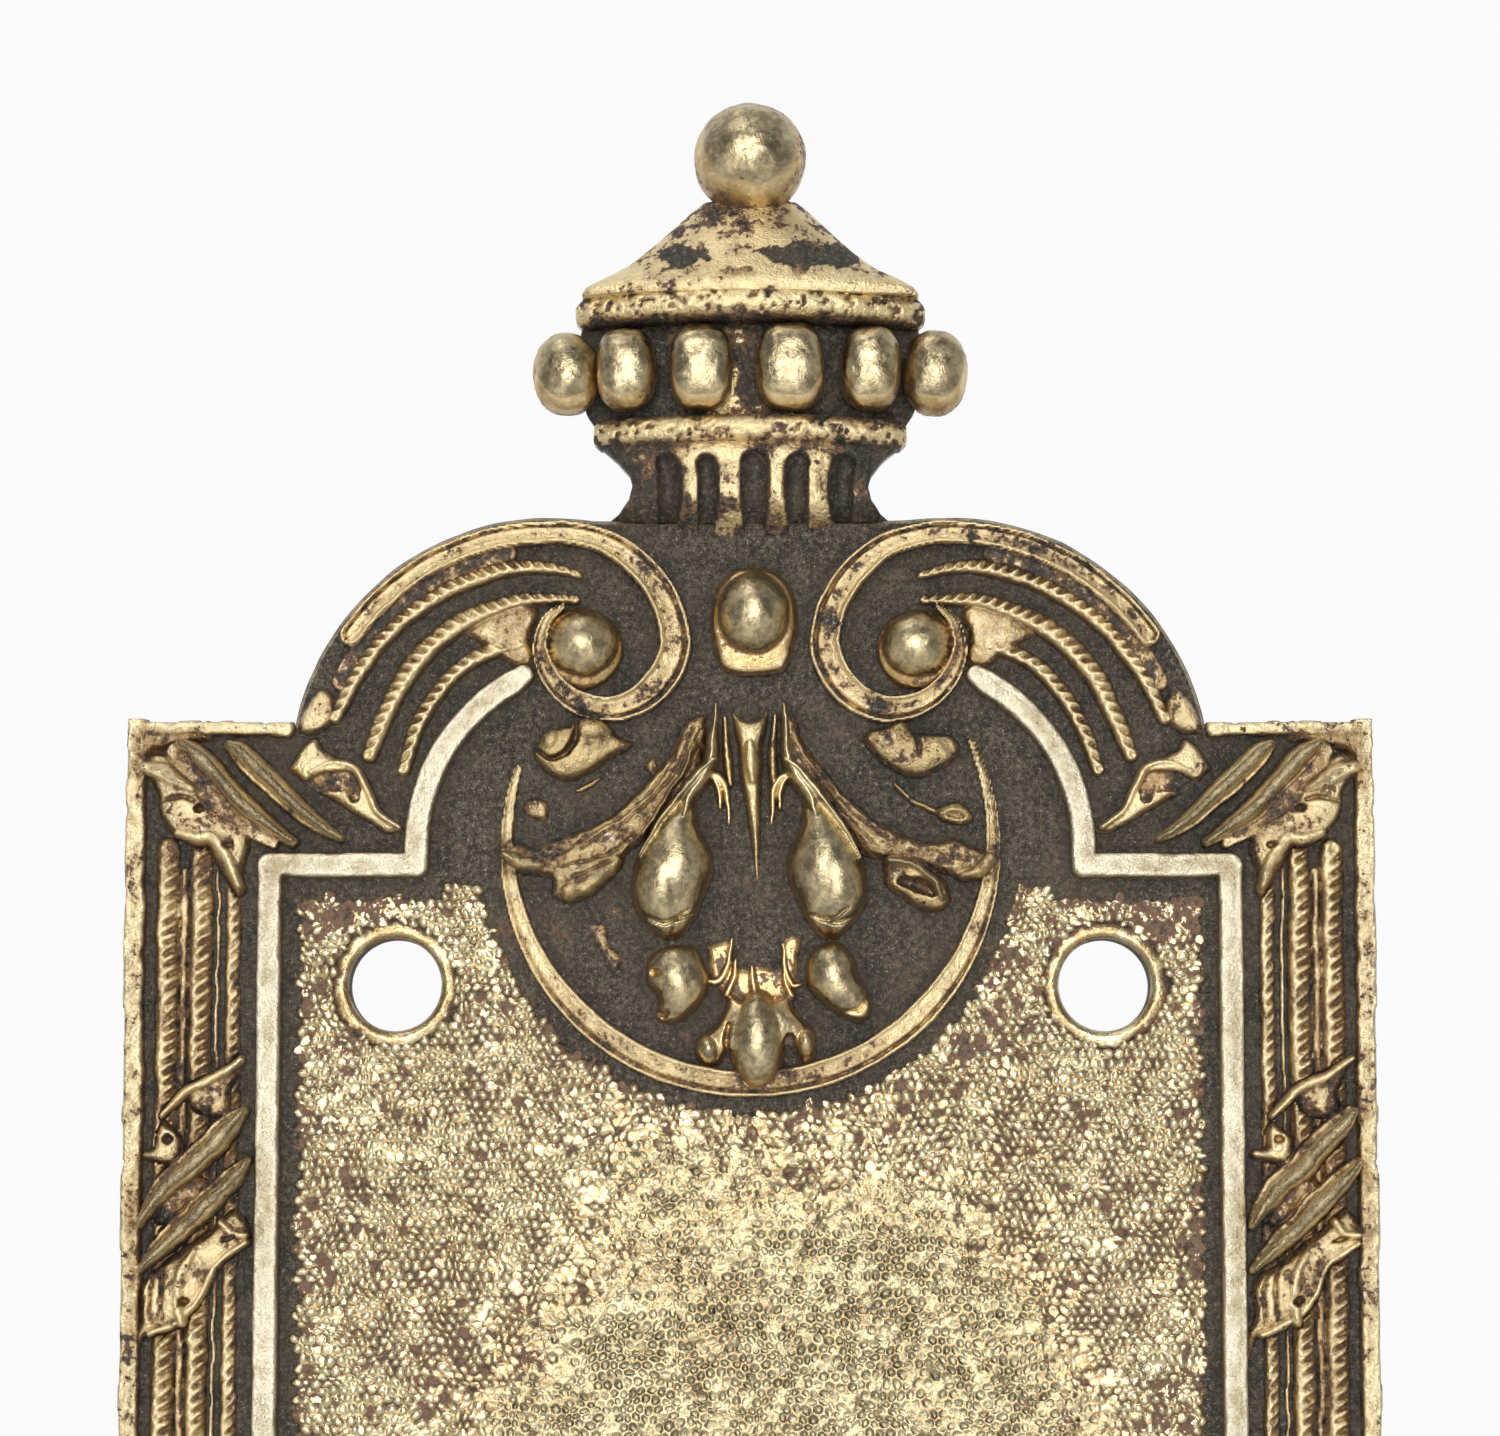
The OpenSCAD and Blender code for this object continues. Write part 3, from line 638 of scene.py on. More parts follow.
def right_frond_strokes():
    leaf = [(1.8, 0.6), (2.5, 0.1), (3.0, -1.1), (3.9, -2.4), (5.0, -3.7), (6.1, -4.7), (7.3, -5.7),
            (8.8, -6.5), (10.2, -6.8), (11.6, -6.6), (13.2, -7.4), (13.6, -7.8), (13.0, -8.7), (12.0, -9.1),
            (11.3, -8.7), (9.8, -8.2), (7.8, -7.9), (6.2, -7.4), (5.3, -6.0), (4.2, -4.3), (3.0, -3.0),
            (2.0, -2.4), (1.8, -1.0)]
    cup = [(7.4, -8.0), (8.5, -7.5), (9.9, -8.0), (11.0, -8.9), (11.3, -9.8), (10.9, -10.6), (9.7, -10.6),
           (8.4, -9.9), (7.6, -9.0)]
    return [Leaf(leaf, 1.0), Leaf(cup, 1.25, 0.35),
            Stroke([(8.6, -9.0, 0.3), (9.5, -9.3, 0.52), (10.3, -9.6, 0.3)], 0.9, ROUND, "cut"),
            Stroke([(7.8, -8.0, 0.28), (9.0, -8.1, 0.36), (10.3, -8.9, 0.34), (10.8, -9.9, 0.24)], 1.6),
            Stroke([(12.0, -8.7, 0.3), (13.0, -8.3, 0.45), (13.5, -7.7, 0.35)], 1.4),
            Dome(11.5, -5.2, 1.05, 0.6, 0.8, 12), dent(11.6, -5.3, 0.55, 0.24, 0.35, 12),
            Stroke([(8.0, -3.5, 0.12), (8.7, -4.0, 0.22), (9.4, -4.6, 0.2), (10.4, -5.0, 0.18)], 0.6)
    ] + veins(
        [(2.6, -0.4), (3.4, -2.2), (5.2, -4.5), (7.6, -6.5)],
        [(2.2, -0.9), (3.6, -3.1), (5.6, -5.6), (7.0, -7.0)], [(10.0, -7.2), (11.4, -7.6), (12.6, -7.7)])


def curl_leaf_strokes():
    comma = [(-6.3, -1.1), (-7.0, -1.0), (-7.7, -0.6), (-8.2, 0.0), (-9.1, 0.15), (-9.8, -0.2),
             (-10.6, -0.3), (-11.4, -0.6), (-12.1, -1.2), (-12.2, -1.9), (-11.6, -2.8), (-10.4, -3.4),
             (-9.2, -3.0), (-8.0, -2.3), (-7.0, -1.7)]
    fan = [(6.2, -1.0), (6.8, -0.4), (7.6, -0.3), (8.1, 0.0), (8.8, 0.0), (9.3, -0.6), (10.2, -0.7),
           (11.2, -0.7), (11.8, -1.2), (11.7, -1.9), (11.0, -2.6), (10.0, -3.1), (9.0, -3.2), (8.0, -2.8),
           (7.0, -2.1)]
    return [Leaf(comma, 1.3, 0.32), Dome(-8.9, -0.6, 1.3, 0.75, 1.65, 10),
            Dome(-11.1, -1.15, 0.8, 0.75, 1.4),
            groove([(-9.7, -0.2, 0.2), (-9.75, -0.9, 0.26), (-10.3, -1.9, 0.24), (-11.3, -2.1, 0.2),
                    (-12.0, -1.6, 0.16)], 0.9),
            Leaf(fan, 1.5, 0.35), groove([(9.2, -0.5, 0.14), (9.4, -1.2, 0.2), (9.5, -1.9, 0.12)], 0.4)]


def dart_strokes():
    spear = [(-1.1, 1.2), (-0.75, 0.35), (0, 0.05), (0.7, 0.3), (1.0, 0.9), (0.95, -0.2), (0.74, -1.4),
             (0.68, -2.9), (0.62, -4.8), (0.6, -6.4), (0.52, -7.6), (0.4, -9.1), (0.15, -7.5), (-0.1, -6.0),
             (-0.3, -4.6), (-0.6, -3.0), (-0.7, -1.6), (-0.95, -0.3)]
    return [Leaf(spear, 1.3), Stroke([(0.02, -1.4, 0.5), (0.05, -2.4, 0.6), (0.15, -3.4, 0.34)], 1.6),
            Stroke([(-1.45, 0.2, 0.12), (-1.35, -1.4, 0.26), (-1.2, -2.6, 0.3), (-1.1, -3.6, 0.16)], 0.8),
            Stroke([(1.4, 0.3, 0.12), (1.3, -1.3, 0.26), (1.25, -2.6, 0.32), (1.4, -4.0, 0.16)], 0.8)]


def husk_strokes():
    """Two hanging husks on their stems, and the gold lips of the hollows beside them."""
    left = [(-2.9, -3.9), (-2.9, -5.2), (-2.75, -6.2), (-2.1, -7.4), (-2.1, -8.8), (-2.6, -10.0),
            (-3.2, -11.3), (-4.3, -12.3), (-5.0, -11.5), (-5.8, -10.3), (-6.4, -9.2), (-6.5, -8.0),
            (-6.0, -6.9), (-5.1, -5.6), (-4.1, -4.2), (-3.3, -3.4)]
    right = [(3.1, -3.2), (4.0, -4.2), (4.9, -5.5), (5.8, -6.9), (6.5, -8.4), (6.6, -9.8), (6.1, -11.1),
             (4.8, -12.3), (3.9, -11.6), (3.4, -10.2), (3.1, -8.6), (3.3, -7.0), (3.3, -5.4)]
    sepal = [(3.4, -6.2), (2.7, -7.0), (2.4, -8.1), (2.6, -9.3), (3.3, -10.0), (3.7, -8.4)]
    return [
        Leaf(sepal, 1.0, 0.4), Leaf(left, 2.5, 0.5), Leaf(right, 2.5, 0.5),
        Stroke([(-1.9, 0.9, 0.12), (-2.05, -0.6, 0.28), (-2.15, -1.9, 0.42), (-2.6, -3.0, 0.5),
                (-3.3, -4.1, 0.5), (-3.7, -5.4, 0.3)], 1.75),
        Stroke([(2.0, -2.2, 0.2), (2.7, -2.7, 0.34), (3.5, -3.7, 0.4), (4.5, -5.0, 0.26), (5.4, -6.3, 0.22),
                (6.2, -7.7, 0.12)], 1.85),
        Stroke([(-3.0, -3.9, 0.2), (-2.5, -3.2, 0.3), (-1.9, -3.1, 0.3), (-1.4, -3.7, 0.26),
                (-1.25, -4.7, 0.18), (-1.15, -5.8, 0.08)], 0.95),
        Stroke([(3.2, -3.9, 0.18), (2.7, -3.1, 0.28), (2.1, -3.2, 0.28), (1.75, -3.9, 0.22),
                (1.65, -4.9, 0.1)],
               0.95),
        groove([(-5.5, -10.6, 0.1), (-4.5, -11.2, 0.18), (-3.3, -10.9, 0.1)], 0.35),
        groove([(3.5, -10.7, 0.1), (4.8, -11.4, 0.18), (6.1, -10.9, 0.1)], 0.35)]


def bud_strokes():
    left = [(-5.8, -13.6), (-5.3, -12.9), (-4.2, -12.6), (-3.0, -12.8), (-2.6, -13.7), (-2.2, -14.6),
            (-2.6, -15.7), (-3.3, -16.5), (-4.3, -17.0), (-5.2, -16.8), (-5.2, -15.6), (-5.8, -14.7)]
    right = [(3.1, -13.4), (3.7, -12.6), (4.9, -12.4), (5.8, -13.2), (6.1, -14.3), (6.7, -15.5),
             (6.8, -16.4), (6.1, -17.0), (5.0, -16.6), (3.9, -15.8), (3.1, -14.7)]
    return [Leaf(left, 2.0, 0.45), Leaf(right, 2.0, 0.45),
            dent(-4.8, -16.5, 0.35, 0.25, 0.6), dent(-5.2, -14.2, 0.35, 0.25, 0.5),
            Stroke([(-2.6, -14.6, 0.1), (-1.8, -14.6, 0.26), (-1.3, -13.6, 0.24), (-1.0, -12.3, 0.1)], 0.7),
            Stroke([(2.9, -14.7, 0.1), (2.3, -14.7, 0.24), (1.9, -13.7, 0.22), (1.8, -12.5, 0.1)], 0.7),
            groove([(5.2, -16.4, 0.12), (6.1, -16.3, 0.18), (6.5, -15.5, 0.1)], 0.3)]


def base_leaf_strokes():
    web = [(-2.5, -12.6), (-1.1, -12.3), (-0.9, -13.6), (-0.2, -13.9), (0.5, -13.7), (1.7, -13.8),
           (1.8, -12.3), (2.8, -12.1), (2.6, -14.0), (2.4, -15.4), (0.5, -15.8), (-1.4, -15.4),
           (-2.2, -14.2)]
    trefoil = [(-1.2, -15.0), (-1.5, -16.2), (-2.1, -17.2), (-3.0, -17.8), (-3.1, -18.7), (-2.6, -19.4),
               (-1.7, -19.3), (-1.2, -18.6), (-1.0, -19.4), (-0.6, -20.3), (0.3, -20.8), (1.2, -20.4),
               (1.8, -19.5), (2.0, -18.2), (2.6, -18.8), (2.9, -19.4), (3.6, -19.0), (3.7, -18.0),
               (3.1, -16.9), (2.5, -16.1), (2.2, -15.1), (1.5, -15.6), (0.6, -15.4), (-0.4, -15.7)]
    return [Leaf(web, 0.3, 0.25), Leaf(trefoil, 1.5, 0.35), Dome(0.4, -17.9, 1.6, 2.8, 2.1),
            Dome(-2.35, -18.4, 0.75, 0.95, 1.5), Dome(3.1, -18.0, 0.6, 0.95, 1.5),
            groove([(-1.2, -17.0, 0.16), (-1.3, -17.8, 0.22), (-1.2, -18.7, 0.18)], 0.7),
            dent(2.2, -18.0, 0.34, 0.5, 1.6),
            Stroke([(-1.3, -15.3, 0.3), (-0.9, -14.4, 0.24), (-0.8, -13.4, 0.1)], 0.7),
            Stroke([(2.3, -15.4, 0.3), (1.9, -14.5, 0.2), (1.9, -13.6, 0.1)], 0.7),
            Stroke([(0.3, -15.8, 0.3), (0.2, -14.8, 0.3), (0.1, -13.8, 0.12)], 0.6)]


def cabochon_strokes():
    collar = [(-1.9, 7.6), (-0.9, 8.6), (0.3, 8.8), (1.5, 8.5), (2.4, 7.4), (2.7, 5.9), (2.5, 4.4),
              (2.2, 3.2), (1.7, 2.7), (0.2, 2.5), (-1.2, 2.7), (-1.8, 3.3), (-2.1, 4.5), (-2.3, 6.0)]
    return [Leaf(collar, 0.95, 0.2), Dome(0.2, 6.05, 2.15, 2.5, 2.5)]


def eye_strokes():
    ops = []
    for side in (-1, 1):
        ops += [Dome(side * 9.5, 4.1, 2.35, 2.3, 0.9, power=0.25), Dome(side * 9.4, 4.3, 2.05, 2.0, 2.05)]
    return ops


def rim_grid():
    """Upper half of the right rim with its shoulder."""
    ops = [Stroke([(26.0, -0.42, 0.4), (30.0, -0.42, 0.4), (34.3, -0.42, 0.42)], 0.9, FLAT),
           Stroke([(34.45, 0.0, 0.55), (34.42, -30, 0.58), (34.42, -110, 0.58)], 0.9, FLAT, steps=3)]
    ops.append(Leaf([(34.9, -0.1), (32.6, -0.2), (30.6, -0.5), (30.2, -1.1), (31.3, -1.3), (32.8, -1.6),
                     (33.6, -1.9), (33.9, -3.2), (34.6, -4.6), (34.9, -2.2)], 0.8, 0.2))
    grid = Grid((25.2, 0), (35.1, SHOULDER + 0.1))
    grid.h = relief(ops, grid.x, grid.z - SHOULDER, 301, wobble=0.13, grit=0.1)
    return grid


def fillet_grid():
    """Upper half of the right inner fillet."""
    cross, upright, half = -8.1, 26.9, 0.725
    arc = [(12.75, 2.6, 0.6)] + arc_rows(8, -7.1, 10.7, 60, 2, half, 10) + [(18.7, cross, half)]
    ops = [Stroke(arc, 1.0, FLAT),
           Stroke([(x, cross, half) for x in (18.7, 22.0, upright)], 1.0, FLAT),
           Stroke([(upright, z, half) for z in (cross, -40, -110)], 1.0, FLAT, steps=3)]
    grid = Grid((11.5, 0), (27.9, SHOULDER + 3.8))
    grid.h = relief(ops, grid.x, grid.z - SHOULDER, 401, wobble=0.04, grit=0.02)
    return grid


def side_grid(side, near, far, drop):
    """An empty grid over the upper half of one side, from drop below the shoulder."""
    low, high = sorted((side * near, side * far))
    return Grid((low, 0), (high, SHOULDER - drop))


def reed_grid(side):
    """Upper half of one side's ropes. The ties cover them where they cross."""
    def down(x, top, half):
        return [(side * x, z, half) for z in (top, -50, -SHOULDER - 5)]

    grid = side_grid(side, 27.7, 34.1, 6)
    ropes = [(28.95, 0.45, 0.55), (30.75, 0.66, 0.85), (32.6, 0.7, 0.85)]      # x, half width, rise
    ops = [Stroke(down(x, -7.2, half), rise, ROPE_TOP, pitch=0.66, lean=-0.62, steps=3)
           for x, half, rise in ropes]
    ops += [Stroke(down(x, -8.4, half), 0.5, FLAT, steps=3) for x, half in ((31.68, 0.2), (29.8, 0.1))]
    grid.h = relief(ops, grid.x, grid.z - SHOULDER, 501 if side > 0 else 521, wobble=0.12, grit=0.05)
    worn = rough(grid.x, grid.z, 2.6, 541) + 0.5 * rough(grid.x, grid.z, 0.9, 547)
    grid.h = np.where(grid.h > 0, grid.h * (0.82 + 0.25 * worn), grid.h)
    return grid


def tie_grid(side):
    """Upper half of one side's ties. Both sides lean the same way."""
    grid = side_grid(side, 27.5, 34.3, 10)
    for k in (0.5, 1.5, 2.5):
        x, z = grid.x - side * TIE_X, grid.z - k * TIE_PITCH
        tie = relief(tie_strokes(), x, z, 601 + int(4 * k) + side * 7, wobble=0.16, grit=0.04)
        grid.h = np.maximum(grid.h, tie)
    return grid


# ---------------------------------------------------------------- materials


class Nodes:
    """Short names for adding and joining shader nodes."""

    def __init__(self, name):
        self.material = bpy.data.materials.new(name)
        self.material.use_nodes = True
        self.tree = self.material.node_tree
        self.shader = self.tree.nodes["Principled BSDF"]

    def node(self, kind, **settings):
        n = self.tree.nodes.new(kind)
        for key, value in settings.items():
            setattr(n, key, value)
        return n

    def put(self, value, socket):
        if isinstance(value, bpy.types.NodeSocket):
            self.tree.links.new(value, socket)
        else:
            socket.default_value = value

    def math(self, op, a, b=0.0, c=0.0):
        n = self.node("ShaderNodeMath", operation=op)
        for value, socket in zip((a, b, c), n.inputs):
            self.put(value, socket)
        return n.outputs[0]

    def scaled_sum(self, a, b, c):
        """a times b, plus c"""
        return self.math("MULTIPLY_ADD", a, b, c)

    def share(self, value, low, high, most=1.0):
        """A smooth step from low to high that ends at most."""
        return self.math("MULTIPLY", self.step(value, low, high), most)

    def step(self, value, low, high):
        n = self.node("ShaderNodeMapRange", interpolation_type="SMOOTHSTEP")
        self.put(value, n.inputs["Value"])
        n.inputs["From Min"].default_value = low
        n.inputs["From Max"].default_value = high
        return n.outputs["Result"]

    def mix(self, factor, a, b, kind="RGBA"):
        n = self.node("ShaderNodeMix", data_type=kind)
        first, out = (6, 2) if kind == "RGBA" else (2, 0)
        for value, socket in ((factor, n.inputs["Factor"]), (a, n.inputs[first]), (b, n.inputs[first + 1])):
            self.put(value, socket)
        return n.outputs[out]

    def noise(self, place, size_mm, detail=4.0, roughness=0.6, offset=0.0):
        """Noise about 0 whose features are about size_mm across."""
        n = self.node("ShaderNodeTexNoise", noise_dimensions="4D")
        self.put(place, n.inputs["Vector"])
        n.inputs["W"].default_value = offset
        n.inputs["Scale"].default_value = 1 / (size_mm * MM)
        n.inputs["Detail"].default_value = detail
        n.inputs["Roughness"].default_value = roughness
        return self.math("SUBTRACT", n.outputs["Fac"], 0.5)


def rgb(r, g, b):
    return (r, g, b, 1.0)


def dimmed(colour, share):
    return rgb(*(c * share for c in colour[:3]))


def aged_brass(name, gilt=0.5, by_rise=0.5, by_crest=1.2, flake=1.0, rub=1.0,
               light_gold=rgb(0.78, 0.62, 0.33), deep_gold=rgb(0.31, 0.205, 0.095),
               worn=rgb(0.36, 0.285, 0.165), dark=rgb(0.039, 0.0315, 0.021), gold_rough=0.34,
               worn_rough=0.28, bump=1.0, coat=0.1, tone=0.02):
    """Gilt brass with dark patina in its hollows, and olive rubbed brass where hands and cloths reach.

    gilt, by_rise, by_crest and flake say how much gilding is left: everywhere, on high places, on crests,
    and how patchily. rub is how far the rubbed zones count, and tone lightens the gold. The gold is also
    painted lighter on crests and deeper in hollows, a painted highlight, and the ground is painted darker
    beside raised relief, painted shade over its patina.
    """
    m = Nodes(name)
    madd = m.scaled_sum
    place = m.node("ShaderNodeTexCoord").outputs["Object"]
    finish_and_painted_light = m.node("ShaderNodeAttribute", attribute_name="finish_and_painted_light")
    split = m.node("ShaderNodeSeparateColor")
    m.put(finish_and_painted_light.outputs["Color"], split.inputs["Color"])
    rise, crest, rubbed = split.outputs
    broad = m.noise(place, 4.5, 3.0, offset=1.0)
    patch = m.noise(place, 1.1, 5.0, 0.65, offset=2.0)
    fleck = m.noise(place, 0.3, 3.0, 0.6, offset=3.0)
    fine = m.noise(place, 0.1, 3.0, 0.6, offset=4.0)
    lift = m.math("SUBTRACT", crest, 0.5)

    edge = madd(patch, 1.5 * flake, madd(fleck, 0.9 * flake, gilt))
    edge = madd(lift, by_crest, madd(rise, by_rise, madd(broad, 0.8 * flake, edge)))
    gold_here = m.step(edge, 0.46, 0.52)
    wear = madd(patch, 0.7, m.math("MULTIPLY", rubbed, rub))
    worn_here = m.step(madd(broad, 0.4, madd(fleck, 0.35, wear)), 0.46, 0.58)
    bare = m.math("MAXIMUM", gold_here, worn_here)

    # gold tone: random patches, plus lighter on crests and deeper in hollows by lift, which is painted
    # highlight and painted shade
    gold_tone_and_painted_highlight = madd(patch, 1.8, madd(broad, 1.3, madd(lift, 2.2, tone)))
    gold = m.mix(m.step(gold_tone_and_painted_highlight, 0.0, 0.8), deep_gold, light_gold)
    gold = m.mix(m.share(fleck, 0.04, 0.25, 0.6), gold, rgb(*(1 - (1 - c) * 0.4 for c in light_gold[:3])))
    gold = m.mix(m.share(fine, 0.06, 0.28, 0.55), gold, dimmed(deep_gold, 0.4))
    olive = m.mix(m.step(madd(fleck, 0.45, patch), -0.14, 0.16), dimmed(worn, 0.5), dimmed(worn, 1.15))
    olive = m.mix(m.share(fine, 0.04, 0.3, 0.4), olive, dimmed(worn, 0.4))
    grit = m.math("ADD", fine, fleck)
    patina_and_painted_shade = m.mix(m.step(madd(patch, 0.5, grit), -0.14, 0.16), dimmed(dark, 0.3), dimmed(dark, 2.8))
    patina_and_painted_shade = m.mix(m.step(grit, 0.17, 0.25), patina_and_painted_shade, rgb(0.36, 0.32, 0.25))
    patina_and_painted_shade = m.mix(m.share(broad, -0.1, 0.25, 0.45), patina_and_painted_shade, rgb(0.09, 0.06, 0.038))
    # painted shade: the ground is darkened where it lies low beside raised relief, over its patina
    patina_and_painted_shade = m.mix(m.share(lift, 0.0, -0.22, 0.4), patina_and_painted_shade, dimmed(dark, 0.4))
    brown = m.mix(m.step(edge, 0.16, 0.44), patina_and_painted_shade, rgb(0.15, 0.078, 0.038))
    m.put(m.mix(bare, brown, m.mix(worn_here, gold, olive)), m.shader.inputs["Base Color"])
    m.put(m.mix(bare, 0.1, 1.0, "FLOAT"), m.shader.inputs["Metallic"])
    shine = m.mix(worn_here, gold_rough, worn_rough, "FLOAT")
    shine = madd(fleck, 0.3, madd(patch, 0.2, shine))
    m.put(m.mix(bare, 0.7, shine, "FLOAT"), m.shader.inputs["Roughness"])
    m.shader.inputs["Coat Weight"].default_value = coat
    m.shader.inputs["Coat Roughness"].default_value = 0.4

    dents = madd(fine, 0.6, madd(patch, 1.0, m.math("MULTIPLY", fleck, 1.2)))
    surface = m.node("ShaderNodeBump")
    surface.inputs["Strength"].default_value = bump
    surface.inputs["Distance"].default_value = 0.1 * MM
    m.put(madd(bare, 0.2, dents), surface.inputs["Height"])
    m.put(surface.outputs["Normal"], m.shader.inputs["Normal"])
    return m.material


GILT = aged_brass("gilt_relief", gilt=0.14, by_rise=0.42, by_crest=1.2, flake=1.6,
                  light_gold=rgb(0.78, 0.63, 0.35))
VOLUTE = aged_brass("gilt_volute", gilt=0.06, by_rise=0.36, by_crest=1.35, flake=2.1,
                    light_gold=rgb(0.74, 0.59, 0.33))
TIE = aged_brass("gilt_tie", gilt=0.2, by_rise=0.4, by_crest=1.0, flake=1.7,
                 light_gold=rgb(0.8, 0.65, 0.37), tone=0.2)
ROPE = aged_brass("gilt_rope", gilt=0.26, by_rise=0.42, by_crest=1.1, flake=1.3,
                  light_gold=rgb(0.8, 0.65, 0.38), tone=0.12)
LEAF = aged_brass("gilt_leaf", gilt=0.1, by_rise=0.42, by_crest=0.9, flake=2.0,
                  light_gold=rgb(0.54, 0.41, 0.2), deep_gold=rgb(0.22, 0.14, 0.065), tone=0.04)
DOME = aged_brass("rubbed_dome", gilt=0.3, by_rise=0.4, by_crest=0.7, bump=0.34, coat=0.35, worn_rough=0.33,
                  worn=rgb(0.48, 0.39, 0.225), light_gold=rgb(0.8, 0.62, 0.33),
                  deep_gold=rgb(0.42, 0.28, 0.12))
FILLET = aged_brass("pale_fillet", gilt=0.48, by_rise=0.3, by_crest=0.5, flake=1.0, rub=0.0, bump=0.9,
                    tone=-0.05, light_gold=rgb(0.66, 0.6, 0.45), deep_gold=rgb(0.36, 0.29, 0.17),
                    gold_rough=0.4)
PATINA = aged_brass("patinated_ground", gilt=0.0, by_rise=0.6, by_crest=0.4, coat=0.0)
FIELD = aged_brass("stippled_field", gilt=0.3, by_rise=0.5, by_crest=0.0, flake=0.8, rub=1.0, bump=0.45,
                   tone=0.1, light_gold=rgb(0.58, 0.5, 0.31), deep_gold=rgb(0.36, 0.255, 0.12),
                   worn=rgb(0.34, 0.29, 0.175), dark=rgb(0.1, 0.062, 0.038), gold_rough=0.29)
RIM = aged_brass("gilt_rim", gilt=0.27, by_rise=0.4, by_crest=0.5, flake=2.0,
                 light_gold=rgb(0.74, 0.62, 0.37), tone=-0.15)


# ---------------------------------------------------------------- the relief of the ends

DOME_LOOK = dict(wobble=0.06, grit=0.012)
RELIEF, WORN = "gilt_relief", "worn_brass"
VOLUTE_RUB, REED_RUB, TIE_RUB = (0.9, 1.0, 0.3), (0.9, 1.0, 0.2), (0.66, 0.95, 0.75)
NO_RUB, FROND_RUB, BOSS_RUB = (0, 1, 0), (0.55, 0.9, 0.6), (0.35, 0.6, 1)

# Part of an end: its strokes, seed, grid cell, unevenness, material, slot, and how its crowns are rubbed,
# as the shares of its height where rubbing starts and is full, and its amount
ENDS = {
    "volute_right": (volute_strokes(), 101, CELL, dict(wobble=0.05), VOLUTE, RELIEF, VOLUTE_RUB),
    "volute_left": (mirrored(volute_strokes()), 111, CELL, dict(wobble=0.05), VOLUTE, RELIEF, VOLUTE_RUB),
    "lobe_reeds_right": (lobe_reed_strokes(), 121, 0.08, {}, ROPE, RELIEF, REED_RUB),
    "lobe_reeds_left": (mirrored(lobe_reed_strokes()), 131, 0.08, {}, ROPE, RELIEF, REED_RUB),
    "corner_tie_left": (corner_tie_strokes(), 141, 0.08, {}, TIE, RELIEF, TIE_RUB),
    "corner_tie_right": (mirrored(corner_tie_strokes()), 151, 0.08, {}, TIE, RELIEF, TIE_RUB),
    "medallion_ring": (ring_strokes(), 161, CELL, dict(wobble=0.04, grit=0.015), GILT, RELIEF, NO_RUB),
    "frond_left": (left_frond_strokes(), 171, 0.08, dict(wobble=0.2, grit=0.11), LEAF, RELIEF, FROND_RUB),
    "frond_right": (right_frond_strokes(), 181, 0.08, dict(wobble=0.2, grit=0.11), LEAF, RELIEF, FROND_RUB),
    "curl_leaves": (curl_leaf_strokes(), 191, 0.08, dict(wobble=0.14, grit=0.07), LEAF, RELIEF,
                    (0.8, 1.0, 0.5)),
    "centre_dart": (dart_strokes(), 201, 0.07, dict(wobble=0.05), GILT, RELIEF, NO_RUB),
    "husk_drops": (husk_strokes() + mirrored(husk_strokes()), 211, 0.08, dict(wobble=0.1, grit=0.01), DOME,
                   WORN, (0.2, 0.62, 1)),
    "buds": (bud_strokes(), 221, 0.08, dict(wobble=0.12, grit=0.02), DOME, WORN, (0.3, 0.85, 1)),
    "base_leaf": (base_leaf_strokes(), 231, 0.08, dict(wobble=0.08, grit=0.02), DOME, RELIEF,
                  (0.3, 0.8, 1)),
    "cabochon": (cabochon_strokes(), 241, 0.08, DOME_LOOK, DOME, WORN, BOSS_RUB),
    "volute_eyes": (eye_strokes(), 251, 0.08, DOME_LOOK, DOME, WORN, BOSS_RUB),
}
GRIDS = {key: carve(ops, seed, cell, **uneven) for key, (ops, seed, cell, uneven, *_) in ENDS.items()}
RIGHT_RIM, RIGHT_FILLET = rim_grid(), fillet_grid()
SIDE_GRIDS = {
    "rim": (flipped(RIGHT_RIM), RIGHT_RIM),
    "inner_fillet": (flipped(RIGHT_FILLET), RIGHT_FILLET),
    "side_reeds": (reed_grid(-1), reed_grid(1)),
    "side_ties": (tie_grid(-1), tie_grid(1)),
}
for k in (0, 1):
    ties, reeds = SIDE_GRIDS["side_ties"][k], SIDE_GRIDS["side_reeds"][k]
    under = ties.read(reeds.x, reeds.z) > 0.02
    bow = GRIDS["corner_tie_left" if k == 0 else "corner_tie_right"]
    reach = (reeds.z > bow.zs[0]) & (reeds.z < bow.zs[-1])
    under |= reach & (bow.read(reeds.x, reeds.z) > 0.02)
    reeds.h = np.where(under, -0.3, reeds.h)

# Everything above the ground of the upper half, and how far each place stands over its surroundings
MAP = Grid((-HALF_W - 1, 0), (HALF_W + 1, SHOULDER + TOP))
MAP.h = np.zeros(MAP.x.shape)
for grid in list(GRIDS.values()) + [g for pair in SIDE_GRIDS.values() for g in pair]:
    box = (MAP.x >= grid.xs[0]) & (MAP.x <= grid.xs[-1]) & (MAP.z >= grid.zs[0]) & (MAP.z <= grid.zs[-1])
    MAP.h[box] = np.maximum(MAP.h[box], grid.read(MAP.x[box], MAP.z[box]))


def blurred(values, sigma):
    """A Gaussian blur, sigma in grid cells."""
    fx, fz = np.fft.fftfreq(values.shape[0]), np.fft.rfftfreq(values.shape[1])
    fade = np.exp(-2 * (math.pi * sigma) ** 2 * (fx[:, None] ** 2 + fz[None, :] ** 2))
    return np.fft.irfft2(np.fft.rfft2(values) * fade, values.shape)


